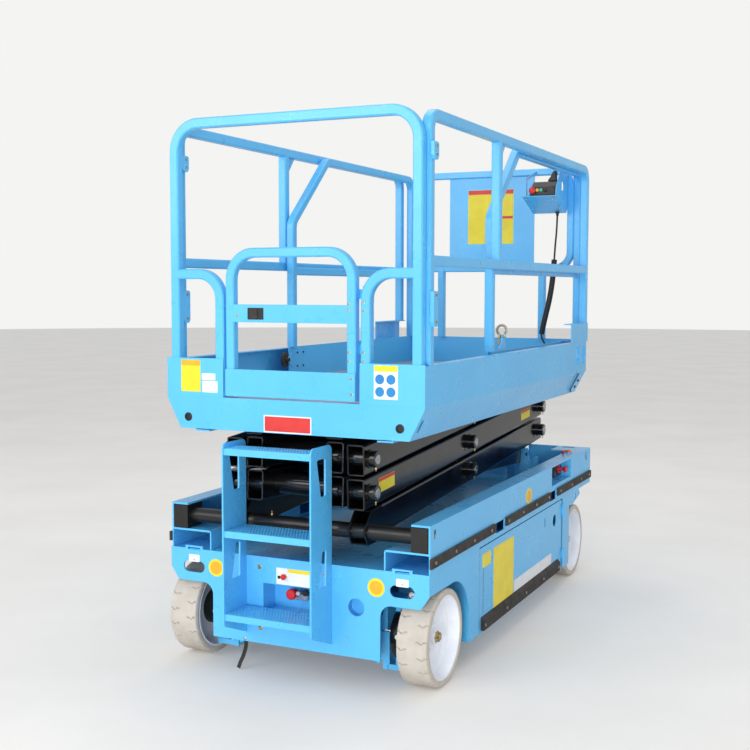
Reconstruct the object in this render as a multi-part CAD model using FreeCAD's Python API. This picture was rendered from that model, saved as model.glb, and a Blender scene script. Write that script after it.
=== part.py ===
import FreeCAD, Part
import math
import os

# Self-propelled scissor lift with a rolled-out extension deck.
# Millimetres.  X is across the machine, Y along it with the ladder at -Y, Z up from the floor.

V = FreeCAD.Vector

# Driving sizes
ARM_RUN = 2196.0
ARM_WIDTH = 74.0
BEAM_WIDTH = 190.0
PITCH = 132.0
WHEEL_RADIUS = 190.5
PIVOT_REAR_Y = 1164.0
PLATE = 8.0
SHEET = 5.0
RUN_FIT = 0.05
PIVOT_FRONT_Y = PIVOT_REAR_Y - ARM_RUN
MID_Y = (PIVOT_REAR_Y + PIVOT_FRONT_Y) / 2.0

# Widths, from the lift cylinder outwards
CYL_RADIUS = 56.0
CYL_SIDE = 86.0
ARM_GAP = 15.0
BOSS_STANDS = 33.0
STACK_CLEAR = 50.0
BOSS_GAP = 34.0
CHANNEL_DEEP = 66.0
PLATFORM_SIDE = 10.0
INNER_IN = CYL_RADIUS + CYL_SIDE
INNER_OUT = INNER_IN + ARM_WIDTH
OUTER_IN = INNER_OUT + ARM_GAP
OUTER_OUT = OUTER_IN + ARM_WIDTH
BOSS_OUT = OUTER_OUT + BOSS_STANDS
BEAM_IN = BOSS_OUT + STACK_CLEAR
CHASSIS_HALF = BEAM_IN + BEAM_WIDTH
PLATFORM_HALF = CHASSIS_HALF - PLATFORM_SIDE
CHANNEL_IN = BOSS_OUT + BOSS_GAP
CHANNEL_OUT = CHANNEL_IN + CHANNEL_DEEP

# Chassis ends
FRONT_OVERHANG = 58.0
REAR_OVERHANG = 94.0
LADDER_REACH = 168.0
CHASSIS_FRONT = PIVOT_FRONT_Y - FRONT_OVERHANG
CHASSIS_REAR = PIVOT_REAR_Y + REAR_OVERHANG
LADDER_FRONT = CHASSIS_FRONT - LADDER_REACH

# Wheels
WHEEL_WIDTH = 129.0
FRONT_WHEEL_IN = 1.0
REAR_WHEEL_IN = 16.0
FRONT_WHEEL_OUT = CHASSIS_HALF - FRONT_WHEEL_IN
REAR_WHEEL_OUT = CHASSIS_HALF - REAR_WHEEL_IN
FRONT_AXLE_BACK = 170.0
REAR_AXLE_AHEAD = 273.0
FRONT_AXLE_Y = CHASSIS_FRONT + FRONT_AXLE_BACK
REAR_AXLE_Y = CHASSIS_REAR - REAR_AXLE_AHEAD
TYRE_THICK = 25.5
TYRE_ROUND = 9.0
RIM_RADIUS = WHEEL_RADIUS - TYRE_THICK
RIM_WALL = 7.0
RIM_SET_IN = 3.0
DISH_DEPTH = 62.0
DISH_THICK = 10.0
DISH_FILLET = 22.0
HUB_RADIUS = 52.0
HUB_STEP = 12.0
SPINDLE_RADIUS = 25.0
SPINDLE_SET_IN = 45.0
SPINDLE_SHOULDER = 15.0

# Side rails: an open channel above a box beam, with arches below
ARCH_GAP = 10.0
ARCH_TOP = 2.0 * WHEEL_RADIUS + ARCH_GAP
ARCH_CROWN = 74.0
BEAM_HIGH = 87.0
CHANNEL_HIGH = 106.0
BEAM_BOTTOM = ARCH_TOP + ARCH_CROWN
CHANNEL_FLOOR = BEAM_BOTTOM + BEAM_HIGH
RAIL_TOP = CHANNEL_FLOOR + CHANNEL_HIGH
FLANGE_WIDTH = 78.0
FLANGE_IN = CHASSIS_HALF - FLANGE_WIDTH
BEAM_WALL = 6.0
BEAM_CORNER = 12.0
ARCH_BEHIND_AXLE = 261.0
ARCH_FRONT_END = FRONT_AXLE_Y + ARCH_BEHIND_AXLE
ARCH_RADIUS = 190.0
PANEL_BEFORE_AXLE = 150.0
LINER_BEFORE_AXLE = 216.0
PANEL_REAR = REAR_AXLE_Y - PANEL_BEFORE_AXLE
LINER_REAR = REAR_AXLE_Y - LINER_BEFORE_AXLE
SKIRT_BOTTOM = 98.0
WINDOW_AHEAD = 748.0
WINDOW_LENGTH = 352.0
WINDOW_UP = 4.0
WINDOW_WELL = 64.0
POCKET_LENGTH = 110.0
POCKET_UP = 19.0
POCKET_HIGH = 46.0
POCKET_YS = (CHASSIS_FRONT + 757.0, CHASSIS_REAR - 783.0)
BUMPER_THICK = 10.0
BUMPER_UP = 31.0
BUMPER_HIGH = 38.0
BUMPER_SPANS = ((CHASSIS_FRONT, POCKET_YS[0] - 30.0),
                (POCKET_YS[0] + POCKET_LENGTH + 9.0, POCKET_YS[1] - 8.0),
                (POCKET_YS[1] + POCKET_LENGTH + 16.0, CHASSIS_REAR - 12.0))
EYE_RADIUS = 9.0
EYE_HIGH = 38.0
EYE_DOWN = 38.0
EYE_YS = (CHASSIS_FRONT + 53.0, CHASSIS_REAR - 82.0)
TAB_POINTS = ((0.0, 10.0), (0.0, -60.0), (70.0, -67.0), (217.0, -30.0), (175.0, 10.0))
TAB_HOLE = (118.0, -30.0, 15.0)

# Rear wall, its corner shelves and pivot lugs
WALL_SLOT_UP = 105.0
WALL_SLOT_SIDE = 8.0
SHELF_LENGTH = 160.0
SHELF_WIDTH = 100.0
SHELF_SLOT_LONG = 73.0
SHELF_SLOT_RADIUS = 16.0
SHELF_SLOT_BEHIND = 30.0
LUG_THICK = 20.0
LUG_GAP = 1.0
LUG_ROUND = 22.0
LUG_RUN = 60.0
REST_WIDTH = 78.0
REST_HIGH = 160.0
REST_BEFORE = 206.0
REST_NOTCH = 34.0

# Front plate and its control recess
CUT_IN = 202.0
PLATE_HALF = CHASSIS_HALF - CUT_IN
PLATE_BOTTOM = 119.0
WING_HIGH = 126.5
WING_BOTTOM = BEAM_BOTTOM - WING_HIGH
WING_CHAMFER = 35.0
WING_ROUND = 46.0
WING_CORNER = 12.0
WING_SLOT_LONG = 102.0
WING_SLOT_RADIUS = 23.5
WING_SLOT_IN = 111.0
WING_SLOT_UP = 60.0
TAB_LONG = 84.0
TAB_HIGH = 12.0
TAB_SLOT_LONG = 59.0
TAB_SLOT_HIGH = 10.0
PLATE_HOLE_RADIUS = 34.5
PLATE_HOLE_X = PLATE_HALF - 101.5
PLATE_HOLE_Z = BEAM_BOTTOM - 148.0
RECESS_LEFT = -138.0
RECESS_RIGHT = 112.0
RECESS_DOWN = 98.0
RECESS_TALL = 114.0
RECESS_HIGH = BEAM_BOTTOM - RECESS_DOWN
RECESS_LOW = RECESS_HIGH - RECESS_TALL
RECESS_DEPTH = 90.0
RECESS_WALL = 3.0

# Sliders in the channels
SLIDE_UP = 50.0
SLIDE_DROP = 21.0
SHAFT_RADIUS = 30.0
SLEEVE_RADIUS = SHAFT_RADIUS + 5.0
SHAFT_COLLAR = 6.0
COLLAR_OUT = OUTER_OUT + 16.0
EAR_NOSE = 50.0
EAR_DROP = 50.0
EAR_BEVEL = 8.0
EAR_LENGTH = 110.0
BLOCK_HALF_Y = 54.0
BLOCK_GAP = 2.0
UPPER_SHAFT_RADIUS = 24.0
UPPER_BLOCK_HALF_Y = 42.0
SLIDE_Z = CHANNEL_FLOOR + SLIDE_UP
FIRST_Z = SLIDE_Z + SLIDE_DROP
LEVELS = (FIRST_Z, FIRST_Z + PITCH, FIRST_Z + 2.0 * PITCH)
TOP_PIN_Z = FIRST_Z + 3.0 * PITCH

# Platform
DECK_ABOVE_PIN = 86.0
DECK_TOP = TOP_PIN_Z + DECK_ABOVE_PIN
DECK_SHEET = 5.0
PLATFORM_FRONT_OVER = 85.0
PLATFORM_REAR_OVER = 13.0
PLATFORM_FRONT = PIVOT_FRONT_Y - PLATFORM_FRONT_OVER
PLATFORM_REAR = PIVOT_REAR_Y + PLATFORM_REAR_OVER
SKIRT_SLOPE = 62.0
SKIRT_HALF = PLATFORM_HALF - SKIRT_SLOPE
SKIRT_DEEP = 130.0
SKIRT_LOW = DECK_TOP - SKIRT_DEEP
SKIRT_FOLD = 8.0
SKIRT_BEND = DECK_TOP - SKIRT_FOLD
TOE_HIGH = 150.0
TOE_TOP = DECK_TOP + TOE_HIGH
TOE_FLANGE = 42.0
SKIRT_RETURN = 34.0
SKIRT_HOLE_RADIUS = 15.0
SKIRT_HOLE_IN = 100.0
SKIRT_HOLE_UP = 46.0
SLOPE_SLOT_BEHIND = 43.0
SLOPE_SLOT_RADIUS = 14.0
SLOPE_SLOT_DOWN = (50.0, 101.0)
ARM_SLOT = 14.0
SLOT_ROOM = 5.0
REAR_BOX_AHEAD = 302.0
REAR_BOX_PAST = 25.0
REAR_BOX_HIGH = 100.0
REAR_BOX_FRONT = PLATFORM_REAR - REAR_BOX_AHEAD
REAR_BOX_REAR = PLATFORM_REAR + REAR_BOX_PAST
REAR_BOX_TOP = TOE_TOP + REAR_BOX_HIGH
UPPER_RAIL_HALF = 54.0
CHANNEL_WALL = 6.0

# Lift cylinder
CYL_BASE_AHEAD = 296.0
CYL_ROD_S = 500.0
CYL_BASE_S = ARM_RUN - CYL_BASE_AHEAD
ROD_RADIUS = 36.0
CYL_EYE_RADIUS = 40.0
CYL_EYE_WIDTH = 64.0
CYL_PIN_RADIUS = 24.0
CYL_GLAND = 5.0

# Scissor stack
BOSS_RADIUS = 31.0
PIN_RADIUS = 20.0
ARM_STACK_GAP = 11.0
ARM_DEPTH = PITCH - ARM_STACK_GAP
ARM_WALL = 6.0
ARM_CORNER = 10.0
ARM_END = 50.0
TOP_ARM_END = 34.0
CROSS_RADIUS = 44.0
CROSS_BACK = 90.0
ARM_ANGLE = math.atan2(PITCH, ARM_RUN)

# Steering knuckles and axles
KINGPIN_IN = 162.0
KINGPIN_X = FRONT_WHEEL_OUT - KINGPIN_IN
KINGPIN_RADIUS = 16.0
KNUCKLE_REACH = 121.5
KNUCKLE_TOP = WHEEL_RADIUS + KNUCKLE_REACH
KNUCKLE_BOTTOM = WHEEL_RADIUS - KNUCKLE_REACH
KNUCKLE_HALF = 42.0
KNUCKLE_PLATE = 20.0
KNUCKLE_IN = 30.0
KNUCKLE_EAR = 22.0
PIN_PROUD = 4.0
YOKE_THICK = 22.0
YOKE_GAP = 1.0
YOKE_PLATE = 20.0
MOTOR_RADIUS = 72.0
MOTOR_FLANGE = 97.0
MOTOR_FLANGE_THICK = 24.0
AXLE_HALF_Y = 48.0
AXLE_DOWN = 10.5
AXLE_UP = 71.5
AXLE_SHORT = 63.0
AXLE_END = KINGPIN_X - AXLE_SHORT
TOWER_HALF = 150.0
REAR_BEAM_HALF = 40.0
REAR_END_IN = 170.0
REAR_TOWER_IN = 210.0
GUARD_THICK = 8.0
GUARD_POINTS = ((-52.0, -104.0), (-35.0, -114.0), (-18.0, -90.0), (5.0, -113.0), (12.0, -104.0),
                (12.0, 20.0),
                (-52.0, 20.0))

# Swing-out trays
TRAY_BEHIND_ARCH = 124.0
TRAY_BEFORE_PANEL = 135.0
TRAY_FRONT = ARCH_FRONT_END + TRAY_BEHIND_ARCH
TRAY_REAR = PANEL_REAR - TRAY_BEFORE_PANEL
TRAY_UNDER_BEAM = 7.0
TRAY_TOP = BEAM_BOTTOM - TRAY_UNDER_BEAM
TRAY_DOOR_BOTTOM = 94.0
TRAY_DEPTH = 278.0
TRAY_IN = CHASSIS_HALF - TRAY_DEPTH
TRAY_SHEET = 5.0
TRAY_PROUD = 3.0
TRAY_SET_BACK = 36.0
TRAY_REAR_SET = 30.0
TRAY_FLOOR = 118.0
TRAY_BOX_DROP = 128.0
TRAY_BOX_TOP = TRAY_TOP - TRAY_BOX_DROP
TRAY_LOAD_GAP = 8.0
BATTERY_HIGH = 190.0
POWER_UNIT_HIGH = 170.0
DOOR_GAP = 10.0
DOOR_STRIP = (46.0, 166.0, -286.0, -36.0)
DOOR_STRIP_DEEP = 2.0
DOOR_SLOT_AHEAD = 292.0
DOOR_SLOT_DOWN = (43.0, 90.0)
DOOR_SLOT_RADIUS = 7.0
DOOR_HOLE_AHEAD = 125.0
DOOR_HOLE_DOWN = 85.0
DOOR_HOLE_RADIUS = 30.0
DOOR_BUMPER_ENDS = (22.0, 61.0)
DOOR_BUMPER_UP = 12.0
DOOR_BUMPER_HIGH = 40.0
DOOR_BUMPER_THICK = 15.0
DOOR_BUMPER_SLOPE = 17.0
TRAY_PIN_RADIUS = 4.0
TRAY_BARREL = 7.0
TRAY_PIN_PROUD = 2.0
TRAY_PIN_X = CHASSIS_HALF + TRAY_PIN_PROUD
TRAY_PIN_BEHIND = 8.0
TRAY_PIN_GAP = 16.0
TRAY_HINGE_LENGTH = 40.0
TRAY_HINGE_ZS = (TRAY_FLOOR + 32.0, TRAY_TOP - 38.0 - TRAY_HINGE_LENGTH)
TRAY_KNUCKLE = 14.0
HINGE_SLACK = 0.3
KEEL_GAP = 30.0
KEEL_HALF = TRAY_IN - KEEL_GAP
KEEL_BOTTOM = 130.0

# Ladder
LADDER_X = -26.0
LADDER_HALF = 196.0
LADDER_PLATE = 7.0
LADDER_UNDER_DECK = 162.0
LADDER_TOP = DECK_TOP - LADDER_UNDER_DECK
LADDER_LOW = 241.0
LADDER_BOTTOM = BEAM_BOTTOM - LADDER_LOW
LADDER_SLOPE = 66.0
LADDER_CORNER = 24.0
STEP_TOP = LADDER_TOP - 19.5
STEP_LOW = LADDER_BOTTOM + 48.0
STEP_MIDDLE = (STEP_TOP + STEP_LOW) / 2.0 + 3.0
STEP_LIP = 26.0
STEP_SHEET = 3.0
STEP_SET_BACK = 5.0
TOP_STEP_DEPTH = 98.0
STEP_DEPTH = 150.0
WINDOW_CORNER = 9.0
UPPER_WINDOW = ((45.0, -28.0), (117.0, -28.0), (117.0, -173.0), (78.0, -173.0))
LOWER_WINDOW = ((90.0, -62.0), (122.0, -62.0), (118.0, -202.0), (58.0, -202.0))

# Guard rails
TUBE = 40.0
TUBE_CORNER = 5.0
TALL_HIGH = 1107.0
TALL_TOP = DECK_TOP + TALL_HIGH
TALL_SIDE = 16.0
TALL_HALF = PLATFORM_HALF - TALL_SIDE
TALL_BEND = 110.0
SMALL_HIGH = 511.0
SMALL_TOP = DECK_TOP + SMALL_HIGH
SMALL_IN = 302.0
SMALL_BEND = 100.0
TOE_PLATE_UP = 5.0
GUARD_GAP = 2.0
RAIL_HIGH = 1094.0
RAIL_TOP_Z = DECK_TOP + RAIL_HIGH
RAIL_MID_HIGH = 557.0
RAIL_MID_Z = DECK_TOP + RAIL_MID_HIGH
RAIL_BEND = 60.0
RAIL_POST_RIGHT = PLATFORM_FRONT + 837.0
RAIL_POST_LEFT = PLATFORM_FRONT + 927.0
RAIL_X_OUT = PLATFORM_HALF
RAIL_REAR_IN = 9.0
RAIL_REAR_Y = PLATFORM_REAR - RAIL_REAR_IN

# Gate
GATE_GAP = 10.0
GATE_HINGE_GAP = 20.0
GATE_LEFT = GATE_GAP - SMALL_IN
GATE_RIGHT = SMALL_IN - GATE_HINGE_GAP
GATE_UP = 8.0
GATE_HIGH = 592.0
GATE_BOTTOM = DECK_TOP + GATE_UP
GATE_TOP = DECK_TOP + GATE_HIGH
GATE_MID_UP = 301.0
GATE_MID_HIGH = 70.0
GATE_TOE_HIGH = 107.0
GATE_BEND = 105.0
GATE_TUBE = 38.0
GATE_PIN_GAP = 3.5
GATE_HINGE_X = SMALL_IN - GATE_PIN_GAP
GATE_HINGE_UPS = (185.0, 395.0)
GATE_BARREL_LENGTH = 36.0
GATE_KNUCKLE = 12.0
GATE_BARREL = 8.0
GATE_PIN = 4.5
GATE_LEAF = 34.0

# Extension deck
EXT_BEHIND_FRONT = 877.0
EXT_PAST_REAR = 61.0
EXT_FRONT = PLATFORM_FRONT + EXT_BEHIND_FRONT
EXT_REAR = PLATFORM_REAR + EXT_PAST_REAR
EXT_SIDE = 68.0
EXT_HALF = PLATFORM_HALF - EXT_SIDE
EXT_GLIDE = 0.3
EXT_GLIDE_HIGH = 6.7
EXT_GLIDE_WIDTH = 60.0
EXT_DECK_BOTTOM = DECK_TOP + EXT_GLIDE + EXT_GLIDE_HIGH
EXT_WALL = 150.0
EXT_WALL_SHEET = 4.0
EXT_SHEET = 5.0
EXT_TUBE = 38.0
EXT_TOP_HIGH = 1082.0
EXT_TOP_Z = DECK_TOP + EXT_TOP_HIGH
EXT_MID_HIGH = 535.0
EXT_MID_Z = DECK_TOP + EXT_MID_HIGH
EXT_KNEE_HIGH = 745.0
EXT_KNEE_Z = DECK_TOP + EXT_KNEE_HIGH
EXT_KNEE_RUN = 350.0
EXT_LEFT_SHIFT = 18.0
EXT_RAIL_SIDE = 50.0
EXT_RAIL_OUT = PLATFORM_HALF - EXT_RAIL_SIDE
END_LOW_HIGH = 568.0
END_LOW_Z = DECK_TOP + END_LOW_HIGH
END_TOP_HIGH = 1098.0
END_TOP_Z = DECK_TOP + END_TOP_HIGH
END_POST_X = 301.0
END_BEND = 90.0
PANEL_HALF = END_POST_X - 49.0
PANEL_SHEET = 4.0

# Upper controls
CONSOLE_SIDE = 55.0
CONSOLE_WIDTH = 183.0
CONSOLE_X = (EXT_HALF - CONSOLE_SIDE - CONSOLE_WIDTH, EXT_HALF - CONSOLE_SIDE)
CONSOLE_FRONT = (EXT_REAR - 278.0, EXT_TOP_Z - 157.0)
CONSOLE_BACK = (EXT_REAR - 78.0, EXT_TOP_Z - 235.0)
CONSOLE_SHEET = 4.0
CONSOLE_BOX_X = (CONSOLE_X[0] + 38.0, CONSOLE_X[1] - 4.0)
CONSOLE_BOX_HIGH = 84.0
CONSOLE_BOX_LONG = 120.0
CONSOLE_HOLE = 26.0

# Cable from the console to the roll-out deck.  Columns: in from the deck's side, ahead of its end, height.
CABLE_RADIUS = 5.0
SLEEVE_RADIUS = 15.0
HANG = CONSOLE_BACK[1]
CABLE_ROWS = ((95.0, 96.0, HANG + 4.8), (98.0, 92.0, HANG - 90.0), (108.0, 88.0, HANG - 180.0),
              (112.0, 86.0, HANG - 252.0))
SLEEVE_ROWS = ((112.0, 86.0, HANG - 252.6), (116.0, 88.0, HANG - 342.0), (134.0, 92.0, DECK_TOP + 375.0),
               (160.0, 96.0, DECK_TOP + 265.0), (176.0, 97.0, DECK_TOP + 185.0))
TAIL_ROWS = ((176.0, 97.0, DECK_TOP + 183.4), (177.0, 97.0, DECK_TOP + 161.0),
             (148.0, 97.0, DECK_TOP + 121.0),
             (138.0, 98.0, DECK_TOP + 70.0), (138.0, 98.0, EXT_DECK_BOTTOM + EXT_SHEET + 1.0))


def box(x, y, z):
    """Box between two values on each axis."""
    x, y, z = sorted(x), sorted(y), sorted(z)
    return Part.makeBox(x[1] - x[0], y[1] - y[0], z[1] - z[0], V(x[0], y[0], z[0]))


def bar(x, y, z, radius):
    """Round bar across the machine, x being its two ends."""
    x = sorted(x)
    return Part.makeCylinder(radius, x[1] - x[0], V(x[0], y, z), V(1, 0, 0))


def post(x, y, z, radius):
    """Round upright bar, z being its two ends."""
    z = sorted(z)
    return Part.makeCylinder(radius, z[1] - z[0], V(x, y, z[0]), V(0, 0, 1))


def outline(points, place):
    """Closed wire through (u, v) corners; a third value rounds its corner with that radius."""
    at = [place(p[0], p[1]) for p in points]
    ends = []
    for i, p in enumerate(points):
        if len(p) < 3:
            ends.append((at[i], None, at[i]))
            continue
        before = (at[i - 1] - at[i]).normalize()
        after = (at[(i + 1) % len(at)] - at[i]).normalize()
        half = before.getAngle(after) / 2.0
        reach = p[2] / math.tan(half)
        middle = (before + after).normalize()
        crown = at[i] + middle * (p[2] / math.sin(half) - p[2])
        ends.append((at[i] + before * reach, crown, at[i] + after * reach))
    edges = []
    for i, (first, crown, last) in enumerate(ends):
        if crown is not None:
            edges.append(Part.Arc(first, crown, last).toShape())
        edges.append(Part.makeLine(last, ends[(i + 1) % len(ends)][0]))
    return Part.Wire(edges)


def plate_yz(points, x):
    """Flat plate from (y, z) corners, between two x values."""
    x = sorted(x)
    return Part.Face(outline(points, lambda u, v: V(x[0], u, v))).extrude(V(x[1] - x[0], 0, 0))


def plate_xz(points, y):
    """Flat plate from (x, z) corners, between two y values."""
    y = sorted(y)
    return Part.Face(outline(points, lambda u, v: V(u, y[0], v))).extrude(V(0, y[1] - y[0], 0))


def upright_slot(x, y, z, radius):
    """Round-ended slot cutter across the side plates, z being its two ends."""
    low, high = z[0] + radius, z[1] - radius
    return fuse([box(x, (y - radius, y + radius), (low, high)), bar(x, y, low, radius),
                 bar(x, y, high, radius)])


def mirrored(shape):
    """Copy on the other side of the machine."""
    return shape.mirror(V(0, 0, 0), V(1, 0, 0))


def fuse(shapes):
    """One clean solid from pieces that touch or overlap."""
    whole = shapes[0]
    if len(shapes) > 1:
        whole = whole.multiFuse(shapes[1:])
    return whole.removeSplitter()


def sheet_points(points, thick):
    """Corners of a bent sheet that lies on the left of a line of (u, v) points."""
    count = len(points)
    normals = []
    for i in range(count - 1):
        du = points[i + 1][0] - points[i][0]
        dv = points[i + 1][1] - points[i][1]
        size = math.hypot(du, dv)
        normals.append((-dv / size, du / size))
    inner = []
    for i in range(count):
        a = normals[max(i - 1, 0)]
        b = normals[min(i, count - 2)]
        scale = thick / (1.0 + a[0] * b[0] + a[1] * b[1])
        inner.append((points[i][0] + (a[0] + b[0]) * scale, points[i][1] + (a[1] + b[1]) * scale))
    return points + inner[::-1]


def rounded_line(points, radius):
    """Wire through the points with an arc of the given radius at each inner one."""
    edges = []
    start = points[0]
    for i in range(1, len(points) - 1):
        before = (points[i - 1] - points[i]).normalize()
        after = (points[i + 1] - points[i]).normalize()
        half = before.getAngle(after) / 2.0
        reach = radius / math.tan(half)
        first = points[i] + before * reach
        last = points[i] + after * reach
        middle = (before + after).normalize()
        centre = points[i] + middle * (radius / math.sin(half))
        edges.append(Part.makeLine(start, first))
        edges.append(Part.Arc(first, centre - middle * radius, last).toShape())
        start = last
    edges.append(Part.makeLine(start, points[-1]))
    return Part.Wire(edges)


def square_section(at, along, flat, size, corner):
    """Square tube outline with cut corners, standing across a direction."""
    other = along.cross(flat).normalize()
    half, cut = size / 2.0, size / 2.0 - corner
    marks = [(half, -cut), (half, cut), (cut, half), (-cut, half),
             (-half, cut), (-half, -cut), (-cut, -half), (cut, -half)]
    corners = [at + flat * a + other * b for a, b in marks]
    return Part.makePolygon(corners + [corners[0]])


def square_tube(points, normal, size, bend):
    """Square tube along flat (coplanar) points, bent at each inner one."""
    points = [V(*p) for p in points]
    normal = V(*normal)
    along = (points[1] - points[0]).normalize()
    section = square_section(points[0], along, normal, size, TUBE_CORNER)
    if len(points) == 2:
        return Part.Face(section).extrude(points[1] - points[0])
    path = rounded_line(points, bend)
    return path.makePipeShell([section], True, False)


# Chassis

def arch_plate():
    """Side plate before the tray door, with the front wheel's rounded arch (right side)."""
    door_front, start = TRAY_FRONT - DOOR_GAP, CHASSIS_FRONT + PLATE
    return plate_yz([(start, BEAM_BOTTOM), (start, ARCH_TOP),
                     (ARCH_FRONT_END, ARCH_TOP, ARCH_RADIUS), (ARCH_FRONT_END, SKIRT_BOTTOM),
                     (door_front, SKIRT_BOTTOM), (door_front, BEAM_BOTTOM)],
                    (CHASSIS_HALF - BEAM_WALL, CHASSIS_HALF))


def rear_panel(x):
    """Side plate behind the tray door with its holed tab."""
    door_rear = TRAY_REAR + TRAY_PIN_GAP
    rear = plate_yz([(door_rear, BEAM_BOTTOM), (door_rear, SKIRT_BOTTOM), (PANEL_REAR, SKIRT_BOTTOM),
                     (PANEL_REAR, BEAM_BOTTOM)], x)
    tab = plate_yz([(PANEL_REAR + y, BEAM_BOTTOM + z) for y, z in TAB_POINTS], x)
    hole = bar((x[0] - 1.0, x[1] + 1.0), PANEL_REAR + TAB_HOLE[0], BEAM_BOTTOM + TAB_HOLE[1], TAB_HOLE[2])
    return [rear, tab.cut(hole)]


def rail_cuts():
    """Fork pockets through the box beam, with the slots and the switch window of the side wall."""
    wall = (CHASSIS_HALF - PLATE - 1.0, CHASSIS_HALF + 1.0)
    cuts = [box((BEAM_IN - 1.0, CHASSIS_HALF + 1.0), (y, y + POCKET_LENGTH),
                (BEAM_BOTTOM + POCKET_UP, BEAM_BOTTOM + POCKET_UP + POCKET_HIGH)) for y in POCKET_YS]
    middle = RAIL_TOP - EYE_DOWN
    cuts += [upright_slot(wall, y, (middle - EYE_HIGH / 2.0, middle + EYE_HIGH / 2.0), EYE_RADIUS)
             for y in EYE_YS]
    start = CHASSIS_REAR - WINDOW_AHEAD
    cuts.append(box(wall, (start, start + WINDOW_LENGTH), (CHANNEL_FLOOR + WINDOW_UP, RAIL_TOP - PLATE)))
    return cuts


def window_well():
    """Shallow box behind the switch window: back sheet and two cheeks."""
    start = CHASSIS_REAR - WINDOW_AHEAD
    y = (start - SHEET, start + WINDOW_LENGTH + SHEET)
    z = (CHANNEL_FLOOR, RAIL_TOP - PLATE)
    x = (CHASSIS_HALF - PLATE - WINDOW_WELL, CHASSIS_HALF - PLATE)
    return [box((x[0], x[0] + SHEET), y, z), box(x, (y[0], start), z), box(x, (y[1] - SHEET, y[1]), z)]


def corner_shelf():
    """Slotted plate inside the top flange at the rear corner."""
    rear = CHASSIS_REAR - PLATE
    plate = box((FLANGE_IN - SHELF_WIDTH, FLANGE_IN), (rear - SHELF_LENGTH, rear),
                (RAIL_TOP - PLATE, RAIL_TOP))
    z = (RAIL_TOP - PLATE - 1.0, RAIL_TOP + 1.0)
    y, r = rear - SHELF_SLOT_BEHIND, SHELF_SLOT_RADIUS
    start = FLANGE_IN - SHELF_SLOT_LONG + r
    return plate.cut(fuse([box((start, FLANGE_IN - r), (y - r, y + r), z), post(start, y, z, r),
                           post(FLANGE_IN - r, y, z, r)]))


def side_rail():
    """Channel and box beam of the right side, with its liners and rear side plate."""
    rear = CHASSIS_REAR - PLATE
    profile = [(BEAM_IN, BEAM_BOTTOM), (CHASSIS_HALF, BEAM_BOTTOM), (CHASSIS_HALF, RAIL_TOP),
               (FLANGE_IN, RAIL_TOP), (FLANGE_IN, RAIL_TOP - PLATE),
               (CHASSIS_HALF - PLATE, RAIL_TOP - PLATE),
               (CHASSIS_HALF - PLATE, CHANNEL_FLOOR), (BEAM_IN, CHANNEL_FLOOR, BEAM_CORNER)]
    beam = plate_xz(profile, (CHASSIS_FRONT + PLATE, rear))
    hollow = box((BEAM_IN + BEAM_WALL, CHASSIS_HALF - BEAM_WALL), (CHASSIS_FRONT, rear + 1.0),
                 (BEAM_BOTTOM + BEAM_WALL, CHANNEL_FLOOR - PLATE))
    beam = beam.cut(hollow)
    for cut in rail_cuts():
        beam = beam.cut(cut)
    inner, z = CHASSIS_HALF - BEAM_WALL, (SKIRT_BOTTOM, BEAM_BOTTOM)
    liners = [box((KEEL_HALF, inner), (ARCH_FRONT_END, ARCH_FRONT_END + BEAM_WALL), z),
              box((KEEL_HALF, CHASSIS_HALF), (LINER_REAR - BEAM_WALL, LINER_REAR), z)]
    panels = rear_panel((inner, CHASSIS_HALF))
    return fuse([beam, corner_shelf()] + panels + liners + window_well() + chassis_hinges())


def chassis_hinges():
    """Hinge pins and their knuckles for the tray door (right side)."""
    y = TRAY_REAR + TRAY_PIN_BEHIND
    parts = []
    for low in TRAY_HINGE_ZS:
        high = low + TRAY_HINGE_LENGTH
        parts.append(post(TRAY_PIN_X, y, (low - 2.0, high + 2.0), TRAY_PIN_RADIUS))
        for z in ((low - HINGE_SLACK - TRAY_KNUCKLE, low - HINGE_SLACK),
                  (high + HINGE_SLACK, high + HINGE_SLACK + TRAY_KNUCKLE)):
            parts.append(post(TRAY_PIN_X, y, z, TRAY_BARREL))
            parts.append(box((CHASSIS_HALF - BEAM_WALL, TRAY_PIN_X), (y, TRAY_REAR + TRAY_PIN_GAP + 4.0),
                             z))
    return parts


def chassis_deck():
    """Top plate between the beams with the two keel webs, the floor and the arm rests."""
    top = box((-BEAM_IN, BEAM_IN), (CHASSIS_FRONT + PLATE, CHASSIS_REAR - PLATE),
              (BEAM_BOTTOM, BEAM_BOTTOM + PLATE))
    run = (ARCH_FRONT_END, LINER_REAR)
    webs = [box((s * KEEL_HALF, s * (KEEL_HALF - PLATE)), run, (KEEL_BOTTOM, BEAM_BOTTOM)) for s in (-1, 1)]
    floor = box((-KEEL_HALF, KEEL_HALF), run, (KEEL_BOTTOM, KEEL_BOTTOM + PLATE))
    rests = []
    for s in (-1, 1):
        out, high = BEAM_IN - 20.0, BEAM_BOTTOM + PLATE + REST_HIGH
        middle = out - REST_WIDTH / 2.0
        points = [(out, BEAM_BOTTOM + PLATE), (out, high), (middle + REST_NOTCH / 2.0, high),
                  (middle, high - REST_NOTCH), (middle - REST_NOTCH / 2.0, high), (out - REST_WIDTH, high),
                  (out - REST_WIDTH, BEAM_BOTTOM + PLATE)]
        y = PIVOT_REAR_Y - REST_BEFORE
        rests.append(plate_xz([(s * x, z) for x, z in points], (y, y + PLATE)))
    return fuse([top, floor] + webs + rests)


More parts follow.
